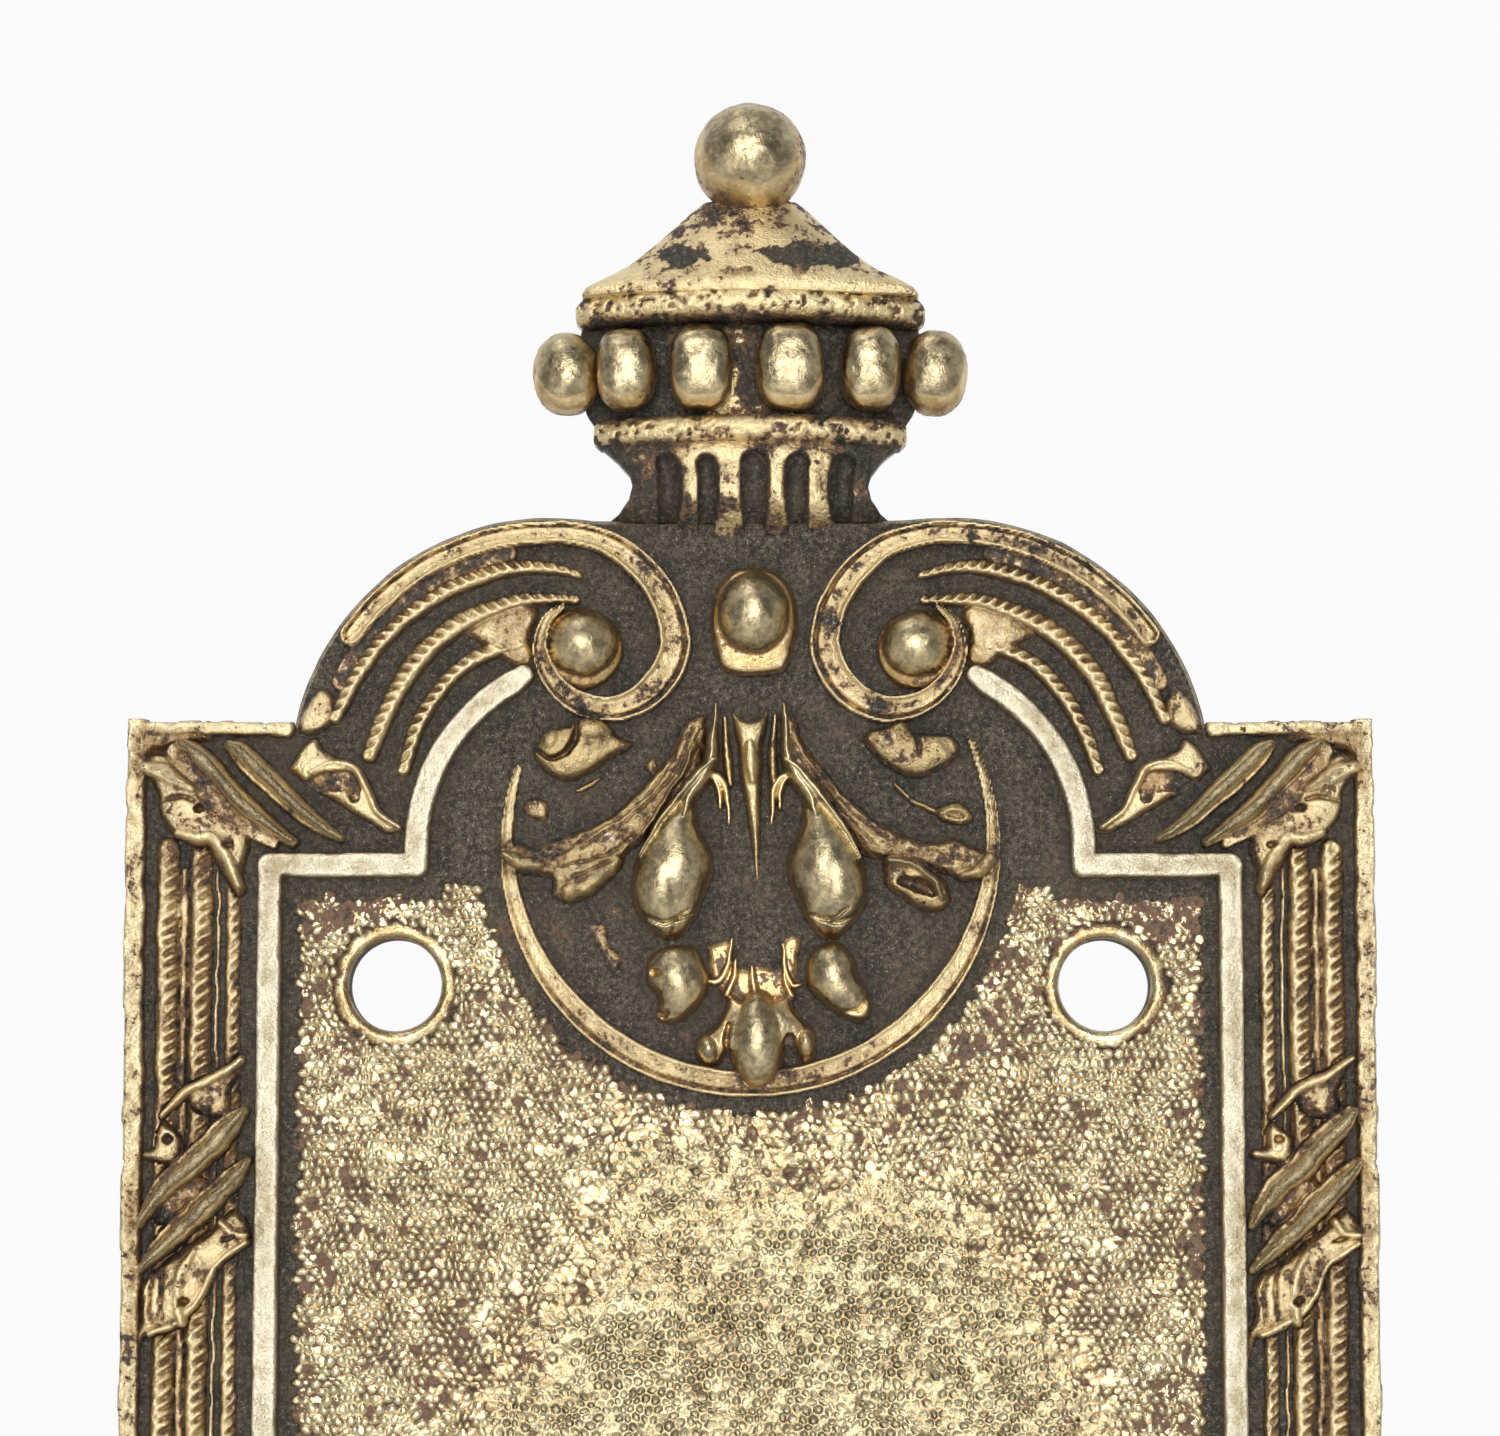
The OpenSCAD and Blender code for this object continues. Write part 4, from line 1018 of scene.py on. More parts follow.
CREST = (MAP.h - blurred(MAP.h, 4)) * 1.6 + (MAP.h - blurred(MAP.h, 11)) * 0.5


def crest_at(x, z):
    """From 0 in a deep hollow to 1 on a sharp crest."""
    turn = np.where(z < 0, -1, 1)
    return np.clip(0.5 + 0.5 * MAP.read(x * turn, z * turn, CREST), 0, 1)


def relief_mesh(grid, rub):
    """Vertices, triangles and finish of a carved piece. Only its highest parts are rubbed."""
    verts, faces = close_back(*cut_at_zero(grid), -SUNK)
    height = verts[:, 2]
    low, high, amount = rub
    rubbed = amount * smooth_step(height / max(height.max(), 0.1), low, high)
    crest = np.maximum(crest_at(verts[:, 0], verts[:, 1]), 0.36)
    return verts, faces, columns(smooth_step(height, -0.1, 0.36), crest, rubbed)


OTHER_SIDE = {"left": "right", "right": "left"}
for key, (*_, material, slot, rub) in ENDS.items():
    base, _, side = key.rpartition("_")
    twin = f"{base}_{OTHER_SIDE[side]}" if side in OTHER_SIDE else key
    add_ends(key, twin, slot, *relief_mesh(GRIDS[key], rub), material)

SIDE_LOOKS = {
    "rim": (RIM, RELIEF, NO_RUB),
    "inner_fillet": (FILLET, "polished_fillet", NO_RUB),
    "side_reeds": (ROPE, RELIEF, NO_RUB),
    "side_ties": (TIE, RELIEF, TIE_RUB),
}
for key, (left, right) in SIDE_GRIDS.items():
    material, slot, rub = SIDE_LOOKS[key]
    for side, grid in (("left", whole_length(left, right)), ("right", whole_length(right, left))):
        verts, faces, finish_and_painted_light = relief_mesh(grid, rub)
        cast = add_mesh(f"{key}_{side}_cast", to_world(verts), faces, finish_and_painted_light, material)
        place(cast, f"{key}_{side}", slot)


# ---------------------------------------------------------------- the plate and its field


def circle_gap(x, z, cx, cz, r):
    """Distance outside a circle, negative inside it."""
    return np.hypot(x - cx, z - cz) - r


def plate_inside(x, z):
    """Distance inside the plate's outline, negative outside."""
    x, z = np.abs(x), np.abs(z) - SHOULDER
    body = np.minimum(HALF_W - x, -z)
    lobe = np.minimum(-circle_gap(x, z, LOBE_X, LOBE_Z, LOBE_R), HALF_W - x)
    stem = np.minimum(LOBE_X - x, STEM_TOP - z)
    return np.maximum(np.maximum(body, lobe), stem)


def hole_gap(x, z):
    """Distance from the middle of the nearest screw hole."""
    return circle_gap(np.abs(x), np.abs(z), HOLE_X, HOLE_Z, 0)


def cut_with_top(mask_grid, top):
    """Vertices and triangles where the mask is above zero, at the heights of another array."""
    verts, faces = cut_at_zero(mask_grid)
    verts[:, 2] = mask_grid.read(verts[:, 0], verts[:, 1], top)
    return verts, faces


BACK_FINISH = (0.3, 0.62, 0.7)   # rise, crest and rub of the filed back
BACK = 0.05 - GROUND             # heights under this belong to the back


def back_plate():
    """The plain ground with a rounded and drafted outer edge, countersunk bores and a flat back."""
    inset, far_x, far_z = 0.42, HALF_W + 0.6, SHOULDER + STEM_TOP + 1
    grid = Grid((-far_x, -far_z), (far_x, far_z), 0.3)
    ragged = 0.07 * rough(grid.x, grid.z, 2.2, 701)
    sunk_r = SINK_R - FIELD_RISE
    grid.h = np.minimum(plate_inside(grid.x, grid.z) - inset + ragged, hole_gap(grid.x, grid.z) - sunk_r)
    top = 0.03 * rough(grid.x, grid.z, 1.1, 711)
    verts, faces = cut_with_top(grid, top)
    every, parts, rub, last_rings = [verts], [faces], [np.zeros(len(verts))], []
    count = len(verts)
    for loop in border_loops(faces):
        p = verts[loop]
        if area_of(p[:, :2]) < 0:                # a screw hole, and otherwise the outer edge
            cx = math.copysign(HOLE_X, p[:, 0].mean())
            cz = math.copysign(HOLE_Z, p[:, 1].mean())
            out = np.array([cx, cz]) - p[:, :2]
            out /= np.linalg.norm(out, axis=1)[:, None]
            step = sunk_r - HOLE_R
            # Each ring's distance out from the cut edge, its height and its rubbing
            rings = [(step, -step, 0.4), (step, -1.2, 0), (step, -GROUND + 0.2, 0),
                     (step - 0.15, -GROUND, 0.4)]
        else:
            along = np.roll(p[:, :2], -2, axis=0) - np.roll(p[:, :2], 2, axis=0)
            out = columns(along[:, 1], -along[:, 0])
            out /= np.linalg.norm(out, axis=1)[:, None]
            rings = [(0.1, -0.07, 0.75), (0.22, -0.26, 0.7), (0.34, -0.6, 0.25), (inset, -1.3, 0.1),
                     (inset, -GROUND + 0.35, 0.1), (inset - 0.12, -GROUND + 0.1, 0.4),
                     (inset - 0.3, -GROUND, 0.5)]
        before = np.array(loop)
        for reach, height, shine in rings:
            ring = np.column_stack([p[:, :2] + out * reach, np.full(len(p), height)])
            if height > -GROUND + 0.1:
                ring[:, 2] += 0.03 * rough(ring[:, 0], ring[:, 1], 0.9, 721)
            here = count + np.arange(len(p))
            nb, nh = np.roll(before, -1), np.roll(here, -1)
            parts += [columns(nb, before, here), columns(nb, here, nh)]
            every.append(ring)
            rub.append(np.full(len(p), shine))
            before, count = here, count + len(p)
        last_rings.append(before.tolist())
    every, rub = np.vstack(every), np.concatenate(rub)
    parts.append(fill_loops(every[:, :2], last_rings))
    # crest from the map of hollows: low on the ground beside raised relief, where the material paints shade
    finish_and_painted_light = columns(np.zeros(len(every)), crest_at(every[:, 0], every[:, 1]), rub)
    finish_and_painted_light[every[:, 2] < -0.05, 1] = 0.6
    finish_and_painted_light[every[:, 2] < BACK] = BACK_FINISH
    return add_mesh("back_plate_cast", to_world(every), np.vstack(parts), finish_and_painted_light, PATINA)


GRAIN_PITCH = 0.54               # mean distance between the grains of the stipple


def field_worn(x, z):
    """How far the stipple is rubbed flat: most in the middle of the plate."""
    away = (np.abs(x - 2) / 24) ** 2.2 + (np.abs(z) / 93) ** 4
    patchy = 0.3 * rough(x, z, 14, 815) + 0.35 * rough(x, z, 5, 811) + 0.25 * rough(x, z, 1.2, 813)
    return np.clip(1.25 * smooth_step(-away, -1.15, -0.35) + patchy - 0.2, 0, 1)


def field_lost(x, z):
    """Where the stipple sinks into smooth dark ground, near the corners and below the ring."""
    z = np.abs(z)
    patchy = rough(x, z, 1.8, 821)
    corner = smooth_step(z - 4.4 * (np.abs(x) < 17.6) + 2.2 * patchy, 92.6, 94.6)
    side = smooth_step(np.abs(x) + 1.6 * patchy, 24.9, 25.9)
    below = smooth_step(-circle_gap(x, z - SHOULDER, 0, RING_Z, RING_R) + 1.1 * patchy, -1.5, -0.3)
    return np.maximum(np.maximum(corner, 0.8 * side), 0.7 * below)


def field_thin(x, z):
    """Grains are missing more often here: along the fillet and below the ring, in patches."""
    side = smooth_step(np.abs(x), 19, 25.5)
    below = smooth_step(-circle_gap(x, np.abs(z) - SHOULDER, 0, RING_Z, RING_R), -7, -1)
    patchy = 0.5 + 0.9 * rough(x, z, 2.4, 857)
    return np.clip(np.maximum(side, below) * patchy * (1 - 0.6 * field_worn(x, z)), 0, 1)


def field_grains():
    """A honeycomb of jittered grain centres, and the hollows where three grains meet."""
    pitch, row = GRAIN_PITCH, GRAIN_PITCH * math.sqrt(0.75)
    nx, nz = int(2 * FIELD_X / pitch) + 6, int(2 * FIELD_Z / row) + 6
    i, j = np.meshgrid(np.arange(nx), np.arange(nz), indexing="ij")
    shake = np.random.default_rng(801).uniform(-0.34, 0.34, (2, nx, nz)) * pitch
    x = (i - nx / 2 + 0.5 * (j & 1)) * pitch
    z = (j - nz / 2) * row
    drift = [0.26 * noise(x, z, 1.6, seed) + 0.1 * noise(x, z, 0.8, seed + 1) for seed in (805, 807)]
    x, z = x + drift[0] + shake[0], z + drift[1] + shake[1]
    up = np.minimum(i + (j & 1), nx - 1)
    above = np.minimum(j + 1, nz - 1)
    beside = np.minimum(i + 1, nx - 1)
    before = np.maximum(up - 1, 0)
    leaning = [(v + v[beside, j] + v[up, above]) / 3 for v in (x, z)]
    hanging = [(v + v[before, above] + v[up, above]) / 3 for v in (x, z)]
    low_left, low_right = i - 1 + (j & 1), i + (j & 1)
    count = nx * nz
    ids = lambda a, b: np.clip(a, 0, nx - 1) * nz + np.clip(b, 0, nz - 1)
    around = np.stack([ids(i, j), ids(i, j) + count, ids(i - 1, j), ids(low_left, j - 1) + count,
                       ids(low_left, j - 1), ids(low_right, j - 1) + count], -1)
    valleys = columns(*(np.concatenate([leaning[k].ravel(), hanging[k].ravel()]) for k in (0, 1)))
    whole = (i > 0) & (i < nx - 1) & (j > 0) & (j < nz - 1)
    return x, z, around, valleys, whole


def field_piece(part, low, high):
    """One stretch of the stippled field: round grains, rubbed flat in the middle."""
    x, z, around, valleys, whole = field_grains()
    top = np.where(np.abs(x) < 17.2, FIELD_Z + 3.9 + 1.2 * rough(x, z, 1.5, 829), FIELD_Z - 0.3)
    clear = np.minimum(np.minimum(FIELD_X - 0.05 - np.abs(x), top - np.abs(z)),
                       hole_gap(x, z) - SINK_R - 0.42)
    clear = np.minimum(clear, circle_gap(x, np.abs(z) - SHOULDER, 0, RING_Z, RING_R + 0.8))
    row = np.broadcast_to(np.arange(x.shape[1]), x.shape)
    keep = whole & (clear > 0) & (row >= low) & (row < high)
    cx, cz, ring = x[keep], z[keep], around[keep]
    worn, lost = field_worn(cx, cz), field_lost(cx, cz)
    missing = np.random.default_rng(855).random(len(cx)) < 0.03 + 0.3 * field_thin(cx, cz)
    lost = np.maximum(lost, 0.9 * missing)
    tall = FIELD_RISE * (0.95 + 0.35 * noise(cx, cz, 0.45, 841)) * (1 - 0.55 * lost) * (1 - 0.2 * worn)
    used, ring = np.unique(ring, return_inverse=True)
    ring = ring.reshape(-1, 6)
    dips = valleys[used]
    dx, dz = dips.T
    dip_worn = smooth_step(field_worn(dx, dz) + 0.4 * noise(dx, dz, 0.4, 845), 0.25, 0.95)
    dip_h = 0.1 + 0.08 * noise(dx, dz, 0.4, 843) + 0.56 * FIELD_RISE * dip_worn
    base, count = len(dips), len(cx)
    sides = (dips[ring] + dips[np.roll(ring, -1, axis=1)]) / 2
    spread = (0.7 + 0.1 * noise(cx, cz, 0.5, 847) + 0.06 * worn)[:, None]
    shoulder_xy = [cv[:, None] + spread * (sides[:, :, k] - cv[:, None]) for k, cv in enumerate((cx, cz))]
    flat = 0.82 + 0.02 * worn
    verts = np.vstack([
        np.column_stack([dips, dip_h]),
        columns(cx, cz, tall * (1 - 0.22 * worn)),
        columns(shoulder_xy[0].ravel(), shoulder_xy[1].ravel(), np.repeat(tall * flat, 6))])
    top = base + np.arange(count)
    mid = base + count + np.arange(count * 6).reshape(-1, 6)
    faces = []
    for k in range(6):
        n = (k + 1) % 6
        faces += [columns(top, mid[:, k], mid[:, n]), columns(mid[:, k], ring[:, k], ring[:, n]),
                  columns(mid[:, k], ring[:, n], mid[:, n])]
    faces = np.vstack(faces)
    low_rise = 0.14 + 0.5 * noise(dx, dz, 0.5, 849) + 0.8 * dip_worn
    rise = np.concatenate([low_rise, 1 - 0.8 * lost, np.repeat(0.9 - 0.75 * lost, 6)])
    rub = np.concatenate([np.zeros(base), worn, np.repeat(0.9 * worn, 6)])
    # crest is highest at each grain's centre and lowest where grains meet; the field's gilding ignores it,
    # so it only paints a highlight on each grain and shade between them
    crest = np.concatenate([0.38 + 0.1 * dip_worn, 0.84 - 0.1 * worn, np.repeat(0.7 - 0.1 * worn, 6)])
    finish_and_painted_light = columns(np.clip(rise, 0, 1), crest, rub)
    verts, faces = close_back(verts, faces, -SUNK)
    finish_and_painted_light = np.vstack([finish_and_painted_light, np.zeros((len(verts) - len(finish_and_painted_light), 3))])
    up = {"lowest": -1, "highest": 1}.get(part)
    if up:
        for side in (-1, 1):
            lip, lip_faces, lip_finish = hole_lip(side * HOLE_X, up * HOLE_Z)
            faces = np.vstack([faces, lip_faces + len(verts)])
            verts, finish_and_painted_light = np.vstack([verts, lip]), np.vstack([finish_and_painted_light, lip_finish])
    return add_mesh(f"field_{part}", to_world(verts), faces, finish_and_painted_light, FIELD)


def hole_lip(cx, cz):
    """The smooth worn lip round one screw hole."""
    a = np.linspace(0, 2 * math.pi, 120, endpoint=False)
    edge = 0.2 * rough(cx + 4 * np.cos(a), cz + 4 * np.sin(a), 0.7, 851)
    low = SINK_R - FIELD_RISE - SUNK
    # Radius, height and rise of each ring
    rings = [(low, -SUNK, 0.5), (SINK_R - 0.3, FIELD_RISE - 0.22, 0.9),
             (SINK_R - 0.12, FIELD_RISE - 0.08, 1.0), (SINK_R + 0.05, FIELD_RISE - 0.08, 0.9),
             (SINK_R + 0.26, FIELD_RISE - 0.14, 0.5), (SINK_R + 0.45, 0.12, 0.2),
             (SINK_R + 0.47, -SUNK, 0.1)]
    verts, finish_and_painted_light = [], []
    for k, (r, h, rise) in enumerate(rings):
        reach = r + edge * (k > 2)
        x, z = cx + reach * np.cos(a), cz + reach * np.sin(a)
        verts.append(columns(x, z, h + 0.03 * rough(x, z, 0.7, 853) * (h > 0)))
        finish_and_painted_light.append(columns(np.full(len(a), rise), 0.5 + 0.35 * rough(x, z, 1.1, 859), np.zeros(len(a))))
    faces = []
    ids = np.arange(len(rings) * len(a)).reshape(len(rings), -1)
    for k in range(len(rings)):
        p, q = ids[k], ids[(k + 1) % len(rings)]
        pn, qn = np.roll(p, -1), np.roll(q, -1)
        faces += [columns(p, q, qn), columns(p, qn, pn)]
    return np.vstack(verts), np.vstack(faces), np.vstack(finish_and_painted_light)


place(back_plate(), "back_plate", "patinated_ground")
ROWS = field_grains()[0].shape[1]
for k, part in enumerate(("lowest", "low", "high", "highest")):
    place(field_piece(part, k * ROWS // 4, (k + 1) * ROWS // 4), "field_panel", "stippled_field")

# ---------------------------------------------------------------- finial

CORE_R = 16                      # rounding of the finial's front, about an upright axis


def profile_piece(outline, front, seed):
    """A casting with a flat back: its outline gives the half width at each z, and front, a function of
    x and z, its height over the ground."""
    o = np.array(outline, float)
    z0, z1, width = o[0, 0], o[-1, 0], o[:, 1].max()
    grid = Grid((-width - 0.4, SHOULDER + z0 - 0.4), (width + 0.4, SHOULDER + z1 + 0.4), 0.12)
    z = grid.z - SHOULDER
    slope = np.abs(np.gradient(np.interp(grid.zs - SHOULDER, o[:, 0], o[:, 1]), grid.cell))
    steep = np.sqrt(1 + np.minimum(slope, 2) ** 2)[None, :]
    side = (np.interp(z, o[:, 0], o[:, 1]) - np.abs(grid.x)) / steep
    grid.h = np.minimum(np.minimum(z - z0, z1 - z), side) + 0.05 * rough(grid.x, z, 1.4, seed)
    round_off = np.sqrt(np.clip(grid.h / 0.7, 0, 1))
    top = np.maximum(front(grid.x, z) - (1 - round_off) * 0.45, 0.6 - GROUND)
    return cut_with_top(grid, top)


def turned_front(x, front):
    """Height over the ground of a round front that reaches the stated depth from the back."""
    return front - GROUND - CORE_R + np.sqrt(CORE_R ** 2 - np.minimum(x ** 2, 150))


FLUTES = [(-4.5, 0.72), (-2.35, 0.62), (0.25, 0.84), (2.6, 0.7), (5.1, 0.74)]   # centre, half width


def flute_gap(x, z):
    """How far each point is from the middle of the nearest flute, as a share of its half width."""
    nearest = np.full(x.shape, 9.0)
    past_ends = np.maximum(z - 14.45, 0) + np.maximum(10.9 - z, 0)
    for centre, half in FLUTES:
        bend = centre * (1 + 0.014 * (z - 13.0) ** 2)
        taper = half * np.interp(z, [10, 12.5], [0.6, 1])
        nearest = np.minimum(nearest, np.hypot(x - bend, past_ends) / taper)
    return nearest


def neck_front(x, z):
    """Ribs that flare at top and bottom, between round-topped flutes. The foot sinks into the ground."""
    depth = np.clip(1 - flute_gap(x, z) ** 2, 0, 1) ** 0.5
    foot = 2.3 * (1 - smooth_step(z, 9.9, 12.6))
    return turned_front(x, 4.4) - 1.05 * depth - foot + 0.06 * rough(x, z, 0.6, 911)


def band_shape(z0, z1, front, seed):
    """The front of a rounded band with small pits, and how its gilding keeps to the middle."""
    def pits(x, z):
        return smooth_step(rough(x, z, 0.34, seed), 0.15, 0.45)

    def height(x, z):
        across = np.clip((z - z0) / (z1 - z0) * 2 - 1, -1, 1)
        h = turned_front(x, front) - 0.35 * across ** 4
        return h - 0.22 * pits(x, z) + 0.08 * rough(x, z, 0.6, seed + 5)

    # crest keeps the gilding to the middle and also paints the middle lighter and the rounded edges darker:
    # painted highlight and painted shade
    def crest(x, z):
        return np.clip(0.86 - 0.4 * np.abs((z - z0) / (z1 - z0) * 2 - 1) ** 3 - 0.4 * pits(x, z), 0, 1)
    return height, crest


def drum_front(x, z):
    return turned_front(x, 3.0) + 0.12 * rough(x, z, 0.9, 921)


def cap_patch(x, z):
    """Where patina still covers the foot of the cap, in ragged patches."""
    band = np.exp(-((z - 26.2 - 0.03 * (np.abs(x) - 3) ** 2) / 1.0) ** 2)
    return smooth_step(rough(x, z, 1.4, 947, 5) + 0.4 * band, 0.34, 0.42) * band


def cap_front(x, z):
    """A swept cap: it leans back to the ball and is round across, with a hammered skirt."""
    lean = 2.8 + (30.05 - z) * math.tan(math.radians(24)) - GROUND
    half = np.interp(z, [24.7, 25.9, 27.8, 29.8, 30.05], [9.6, 7.0, 5.0, 3.0, 2.7])
    across = np.clip(np.abs(x) / half, 0, 1)
    return lean - 1.5 * across ** 2 + 0.07 * rough(x, z, 2.4, 935) - 0.1 * cap_patch(x, z)


def finial_piece(key, slot, outline, front, seed, material, crest):
    """A profiled piece at both ends. crest, a function of x and z, says where it is gilt."""
    verts, faces = close_back(*profile_piece(outline, front, seed), -GROUND)
    rise = np.clip((verts[:, 2] + 1) / 4, 0, 1)
    finish_and_painted_light = columns(rise, crest(verts[:, 0], verts[:, 1] - SHOULDER), np.zeros(len(verts)))
    finish_and_painted_light[verts[:, 2] < BACK] = BACK_FINISH
    add_ends(key, key, slot, verts, faces, finish_and_painted_light, material)


def flute_crest(x, z):
    """Dark in the flutes and on the flanks of the neck, gold on the ribs between."""
    depth = smooth_step(-flute_gap(x, z), -1.08, -0.8)
    flank = smooth_step(np.abs(x - 0.8), 3.4, 5.6)
    patchy = 0.3 * rough(x, z, 1.0, 913)
    return np.clip(0.7 + patchy - 0.9 * depth - 0.5 * flank - 0.25 * (1 - smooth_step(z, 10.0, 11.2)), 0, 1)


def cap_crest(x, z):
    """Gold above, with dark patches above the skirt."""
    return np.clip(0.76 - 0.75 * cap_patch(x, z), 0, 1)


def drum_crest(x, z):
    return 0.2 + 0.8 * smooth_step(rough(x, z, 1.1, 923), 0.05, 0.3)


NECK = [(9.8, 8.9), (11.3, 8.4), (11.9, 7.4), (12.6, 6.85), (13.4, 6.65), (14.2, 6.85), (15.0, 7.5),
        (15.9, 8.6)]
CAP = [(24.2, 9.6), (24.7, 9.2), (25.4, 8.0), (26.0, 6.95), (26.8, 5.95), (27.8, 4.95), (28.8, 3.95),
       (29.8, 2.95), (30.05, 2.65)]
BAND_OUTLINES = {
    "foot_band": [(15.7, 8.5), (16.1, 8.9), (17.0, 8.9), (17.3, 8.7)],
    "crown_band": [(22.7, 9.6), (23.1, 9.95), (23.8, 9.95), (24.5, 9.4)],
}
DRUM = [(17.2, 8.9), (17.8, 9.3), (20.3, 10.2), (22.8, 9.6)]


def band_piece(key, front, seed):
    """A pitted band between two levels."""
    outline = BAND_OUTLINES[key]
    height, crest = band_shape(outline[0][0], outline[-1][0], front, seed)
    finial_piece(key, RELIEF, outline, height, seed + 2, GILT, crest)


finial_piece("fluted_neck", RELIEF, NECK, neck_front, 951, GILT, flute_crest)
band_piece("foot_band", 4.8, 961)
finial_piece("bead_drum", "patinated_ground", DRUM, drum_front, 971, PATINA, drum_crest)
band_piece("crown_band", 5.4, 981)
finial_piece("finial_cap", RELIEF, CAP, cap_front, 991, GILT, cap_crest)


def round_shell(centre, radii, power, seed, rings, around, unevenness):
    """A rounded-box or ball shape: its height over the ground is in centre[2]."""
    a = np.linspace(0, 2 * math.pi, around, endpoint=False)
    b = np.linspace(-math.pi / 2, math.pi / 2, rings + 1)[1:-1]
    aa, bb = np.meshgrid(a, b)
    bend = lambda v: np.sign(v) * np.abs(v) ** power
    d = np.stack([bend(np.cos(aa)) * bend(np.cos(bb)), bend(np.sin(aa)) * bend(np.cos(bb)),
                  bend(np.sin(bb))], -1)
    d = np.vstack([d.reshape(-1, 3), [[0, 0, -1], [0, 0, 1]]])
    verts = d * radii + centre
    swell = 1 + unevenness * rough(verts[:, 0] + verts[:, 2], verts[:, 1] - verts[:, 2], 0.9, seed)
    verts = (verts - centre) * swell[:, None] + centre
    n = len(b)
    ids = np.arange(n * around).reshape(n, around)
    nxt = np.roll(ids, -1, axis=1)
    quads = np.stack([ids[:-1], nxt[:-1], nxt[1:], ids[1:]], -1).reshape(-1, 4)
    south, north = n * around, n * around + 1
    caps = [columns(np.full(around, south), nxt[0], ids[0]),
            columns(np.full(around, north), ids[-1], nxt[-1])]
    return verts, np.vstack([quads[:, :3], quads[:, [0, 2, 3]]] + caps)


def shells_piece(key, shells, rub_span):
    """Rounded shells that make one node, rubbed on their fronts from the first share of rub_span."""
    every, parts, finish_and_painted_light, count = [], [], [], 0
    for centre, radii, *shape in shells:
        verts, faces = round_shell(centre, radii, *shape)
        verts[:, 2] = np.maximum(verts[:, 2], -GROUND)
        top = (verts[:, 2] - centre[2]) / radii[2]
        upper = (verts[:, 1] - centre[1]) / radii[1]
        # crest rises toward each shell's front, keeping gilding there and painting the front's gold
        # lighter: a painted highlight
        finish_and_painted_light.append(columns(np.clip(0.5 + 0.5 * top, 0, 1), np.clip(0.56 + 0.2 * top, 0, 1),
                              smooth_step(top + 0.35 * upper, *rub_span)))
        verts[:, 1] += SHOULDER
        every.append(verts)
        parts.append(faces + count)
        count += len(verts)
    add_ends(key, key, WORN, *(np.vstack(rows) for rows in (every, parts, finish_and_painted_light)), DOME)


BALL_R, BALL_Z, BALL_DEPTH = 3.2, 32.35, 2.0
shells_piece("finial_ball", [((0, BALL_Z, BALL_DEPTH - GROUND), (BALL_R,) * 3, 1.0, 1001, 64, 72, 0.02)],
             (0.0, 1.1))
BEADS = (                        # centre x and z, half width, half height, front, squareness
    (-2.75, 20.0, 1.8, 2.45, 5.4, 0.7), (2.25, 20.05, 1.95, 2.5, 5.4, 0.72),
    (-7.0, 20.0, 1.7, 2.35, 4.7, 0.75), (6.8, 20.05, 1.7, 2.35, 4.7, 0.72),
    (-10.4, 19.9, 1.9, 2.35, 3.9, 0.9), (10.5, 20.0, 1.85, 2.45, 3.9, 0.9))
bead_shells = []
for k, (x, z, half, tall, front, power) in enumerate(BEADS):
    deep = 1.75 if abs(x) < 9 else 1.9
    bead_shells.append(((x, z, front - GROUND - deep), (half, tall, deep), power, 1011 + k, 32, 40, 0.05))
shells_piece("beads", bead_shells, (0.25, 0.85))

# ---------------------------------------------------------------- stage

def pale_floor(reach=6, behind=1.5, gap=0.0005):
    """A floor just under the plate. Sizes are in metres."""
    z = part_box("lower_finial_ball")[0][2] - gap
    mesh = bpy.data.meshes.new("floor")
    mesh.from_pydata([(-reach, -reach, z), (reach, -reach, z), (reach, behind, z), (-reach, behind, z)], [],
                     [(0, 1, 2, 3)])
    floor = bpy.data.objects.new("floor", mesh)
    bpy.context.collection.objects.link(floor)
    pale = Nodes("pale_floor")
    pale.shader.inputs["Base Color"].default_value = rgb(0.82, 0.82, 0.81)
    pale.shader.inputs["Roughness"].default_value = 0.8
    mesh.materials.append(pale.material)


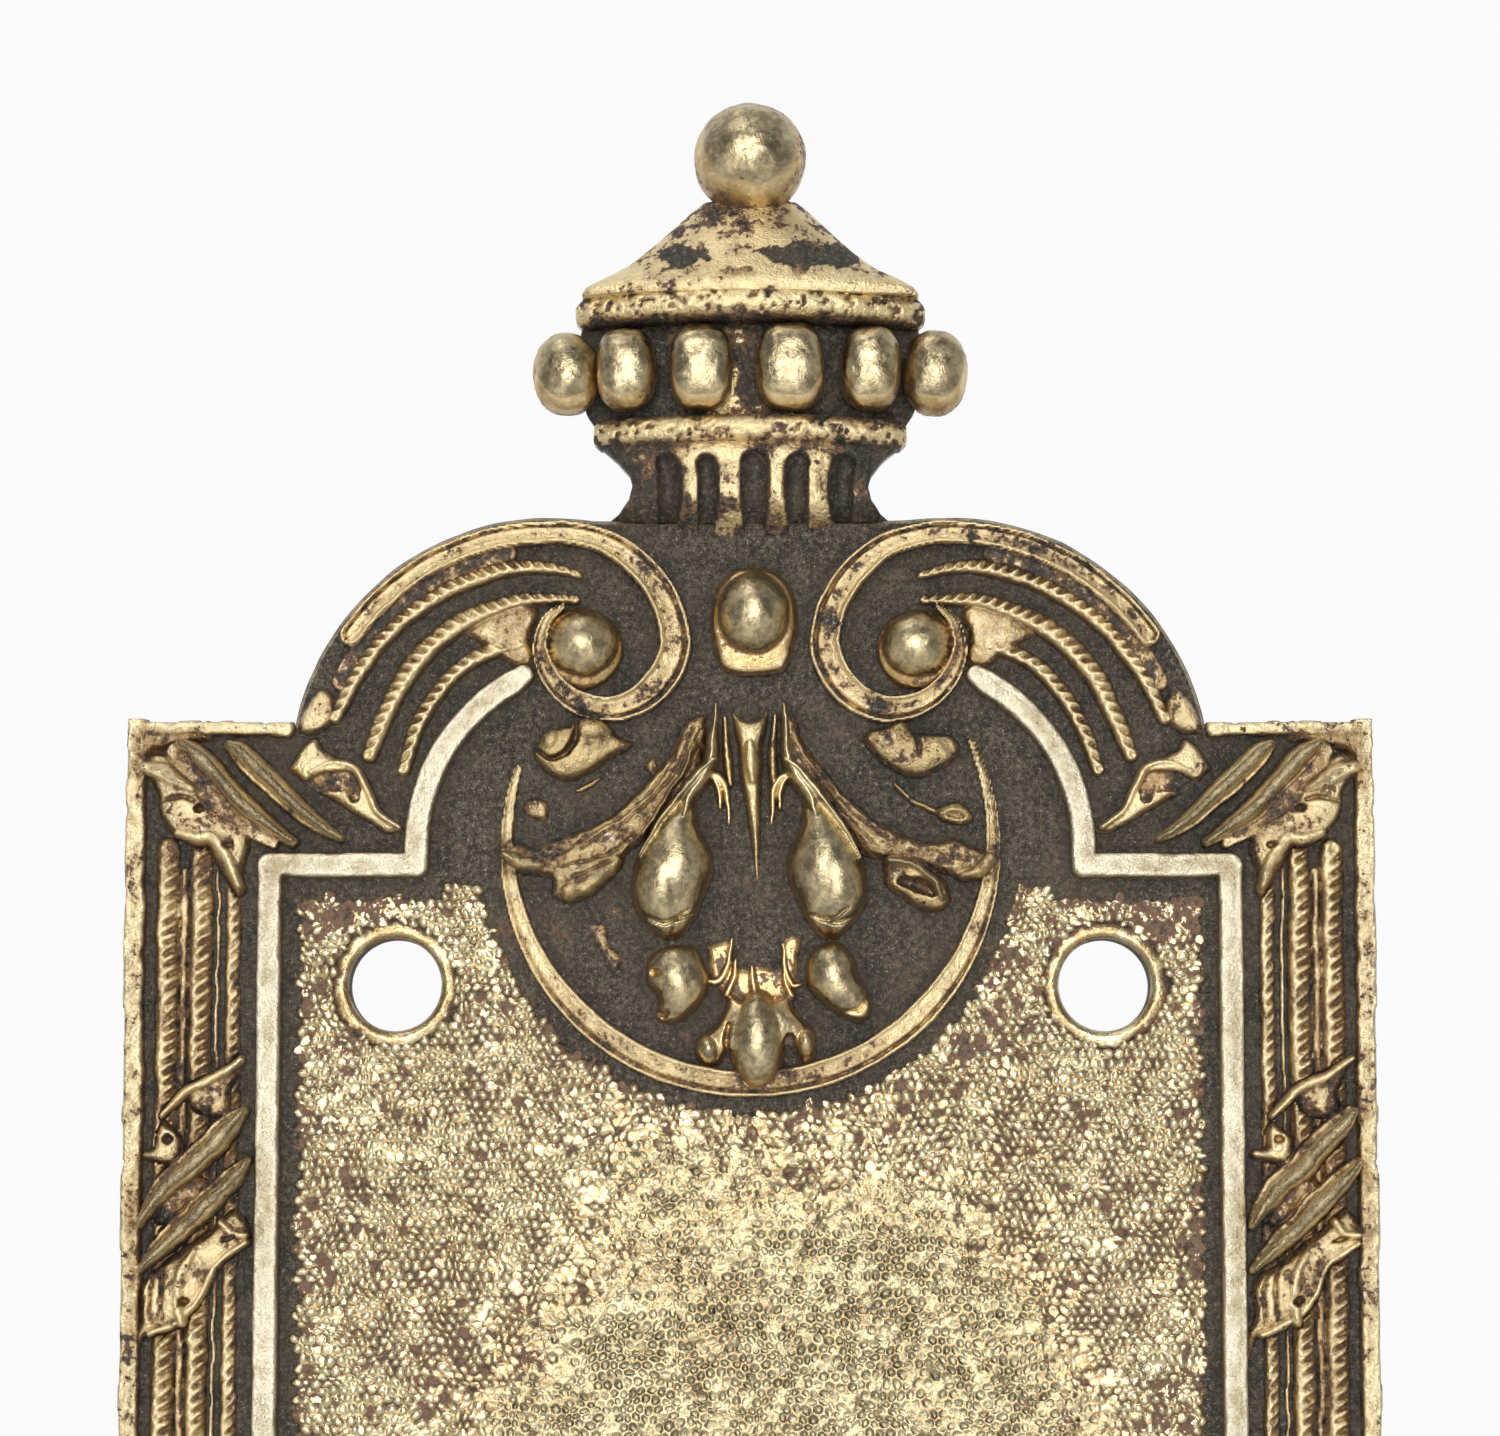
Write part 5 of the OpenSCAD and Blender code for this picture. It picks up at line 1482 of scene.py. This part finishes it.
def studio_world():
    """White all round, and dimmer on the side that the plate faces."""
    world = bpy.data.worlds.new("studio")
    world.use_nodes = True
    tree = world.node_tree
    way = tree.nodes.new("ShaderNodeTexCoord")
    split = tree.nodes.new("ShaderNodeSeparateXYZ")
    ramp = tree.nodes.new("ShaderNodeMapRange")
    ramp.interpolation_type = "SMOOTHSTEP"
    for name, value in (("From Min", -1.0), ("From Max", 0.7), ("To Min", 0.1), ("To Max", 0.96)):
        ramp.inputs[name].default_value = value
    tree.links.new(way.outputs["Generated"], split.inputs[0])
    tree.links.new(split.outputs["Y"], ramp.inputs["Value"])
    tree.links.new(ramp.outputs["Result"], tree.nodes["Background"].inputs["Strength"])
    tree.nodes["Background"].inputs["Color"].default_value = rgb(1.0, 1.0, 1.0)
    bpy.context.scene.world = world


def soft_light(name, where, target, size, power):
    """A square white lamp, size metres across, that faces the target."""
    light = bpy.data.lights.new(name, "AREA")
    light.shape, light.size, light.energy = "SQUARE", size, power
    obj = bpy.data.objects.new(name, light)
    obj.location = Vector(where)
    obj.rotation_euler = (Vector(target) - Vector(where)).to_track_quat("-Z", "Y").to_euler()
    bpy.context.collection.objects.link(obj)


pale_floor()
studio_world()
LAMP_TARGET = (0, 0, 0.08)       # metres
soft_light("key", (-0.05, -1.15, 0.28), LAMP_TARGET, 0.62, 10.4)
soft_light("top", (-0.3, -0.35, 1.1), LAMP_TARGET, 0.4, 2.4)

LENS, SENSOR = 110.8, 36         # focal length and sensor width
AWAY, LIFT = 260, math.radians(6)    # the camera's distance, and how far it looks up
AIM = Vector((0, -GROUND, SHOULDER + 0.2265)) * MM
camera_data = bpy.data.cameras.new("camera")
camera_data.lens, camera_data.sensor_width = LENS, SENSOR
camera_data.clip_start, camera_data.clip_end = 0.01, 20
camera = bpy.data.objects.new("camera", camera_data)
camera.location = AIM - Vector((0, math.cos(LIFT), math.sin(LIFT))) * AWAY * MM
camera.rotation_euler = (math.pi / 2 + LIFT, 0, 0)
bpy.context.collection.objects.link(camera)
bpy.context.scene.camera = camera
bpy.context.scene.view_settings.view_transform = "Standard"
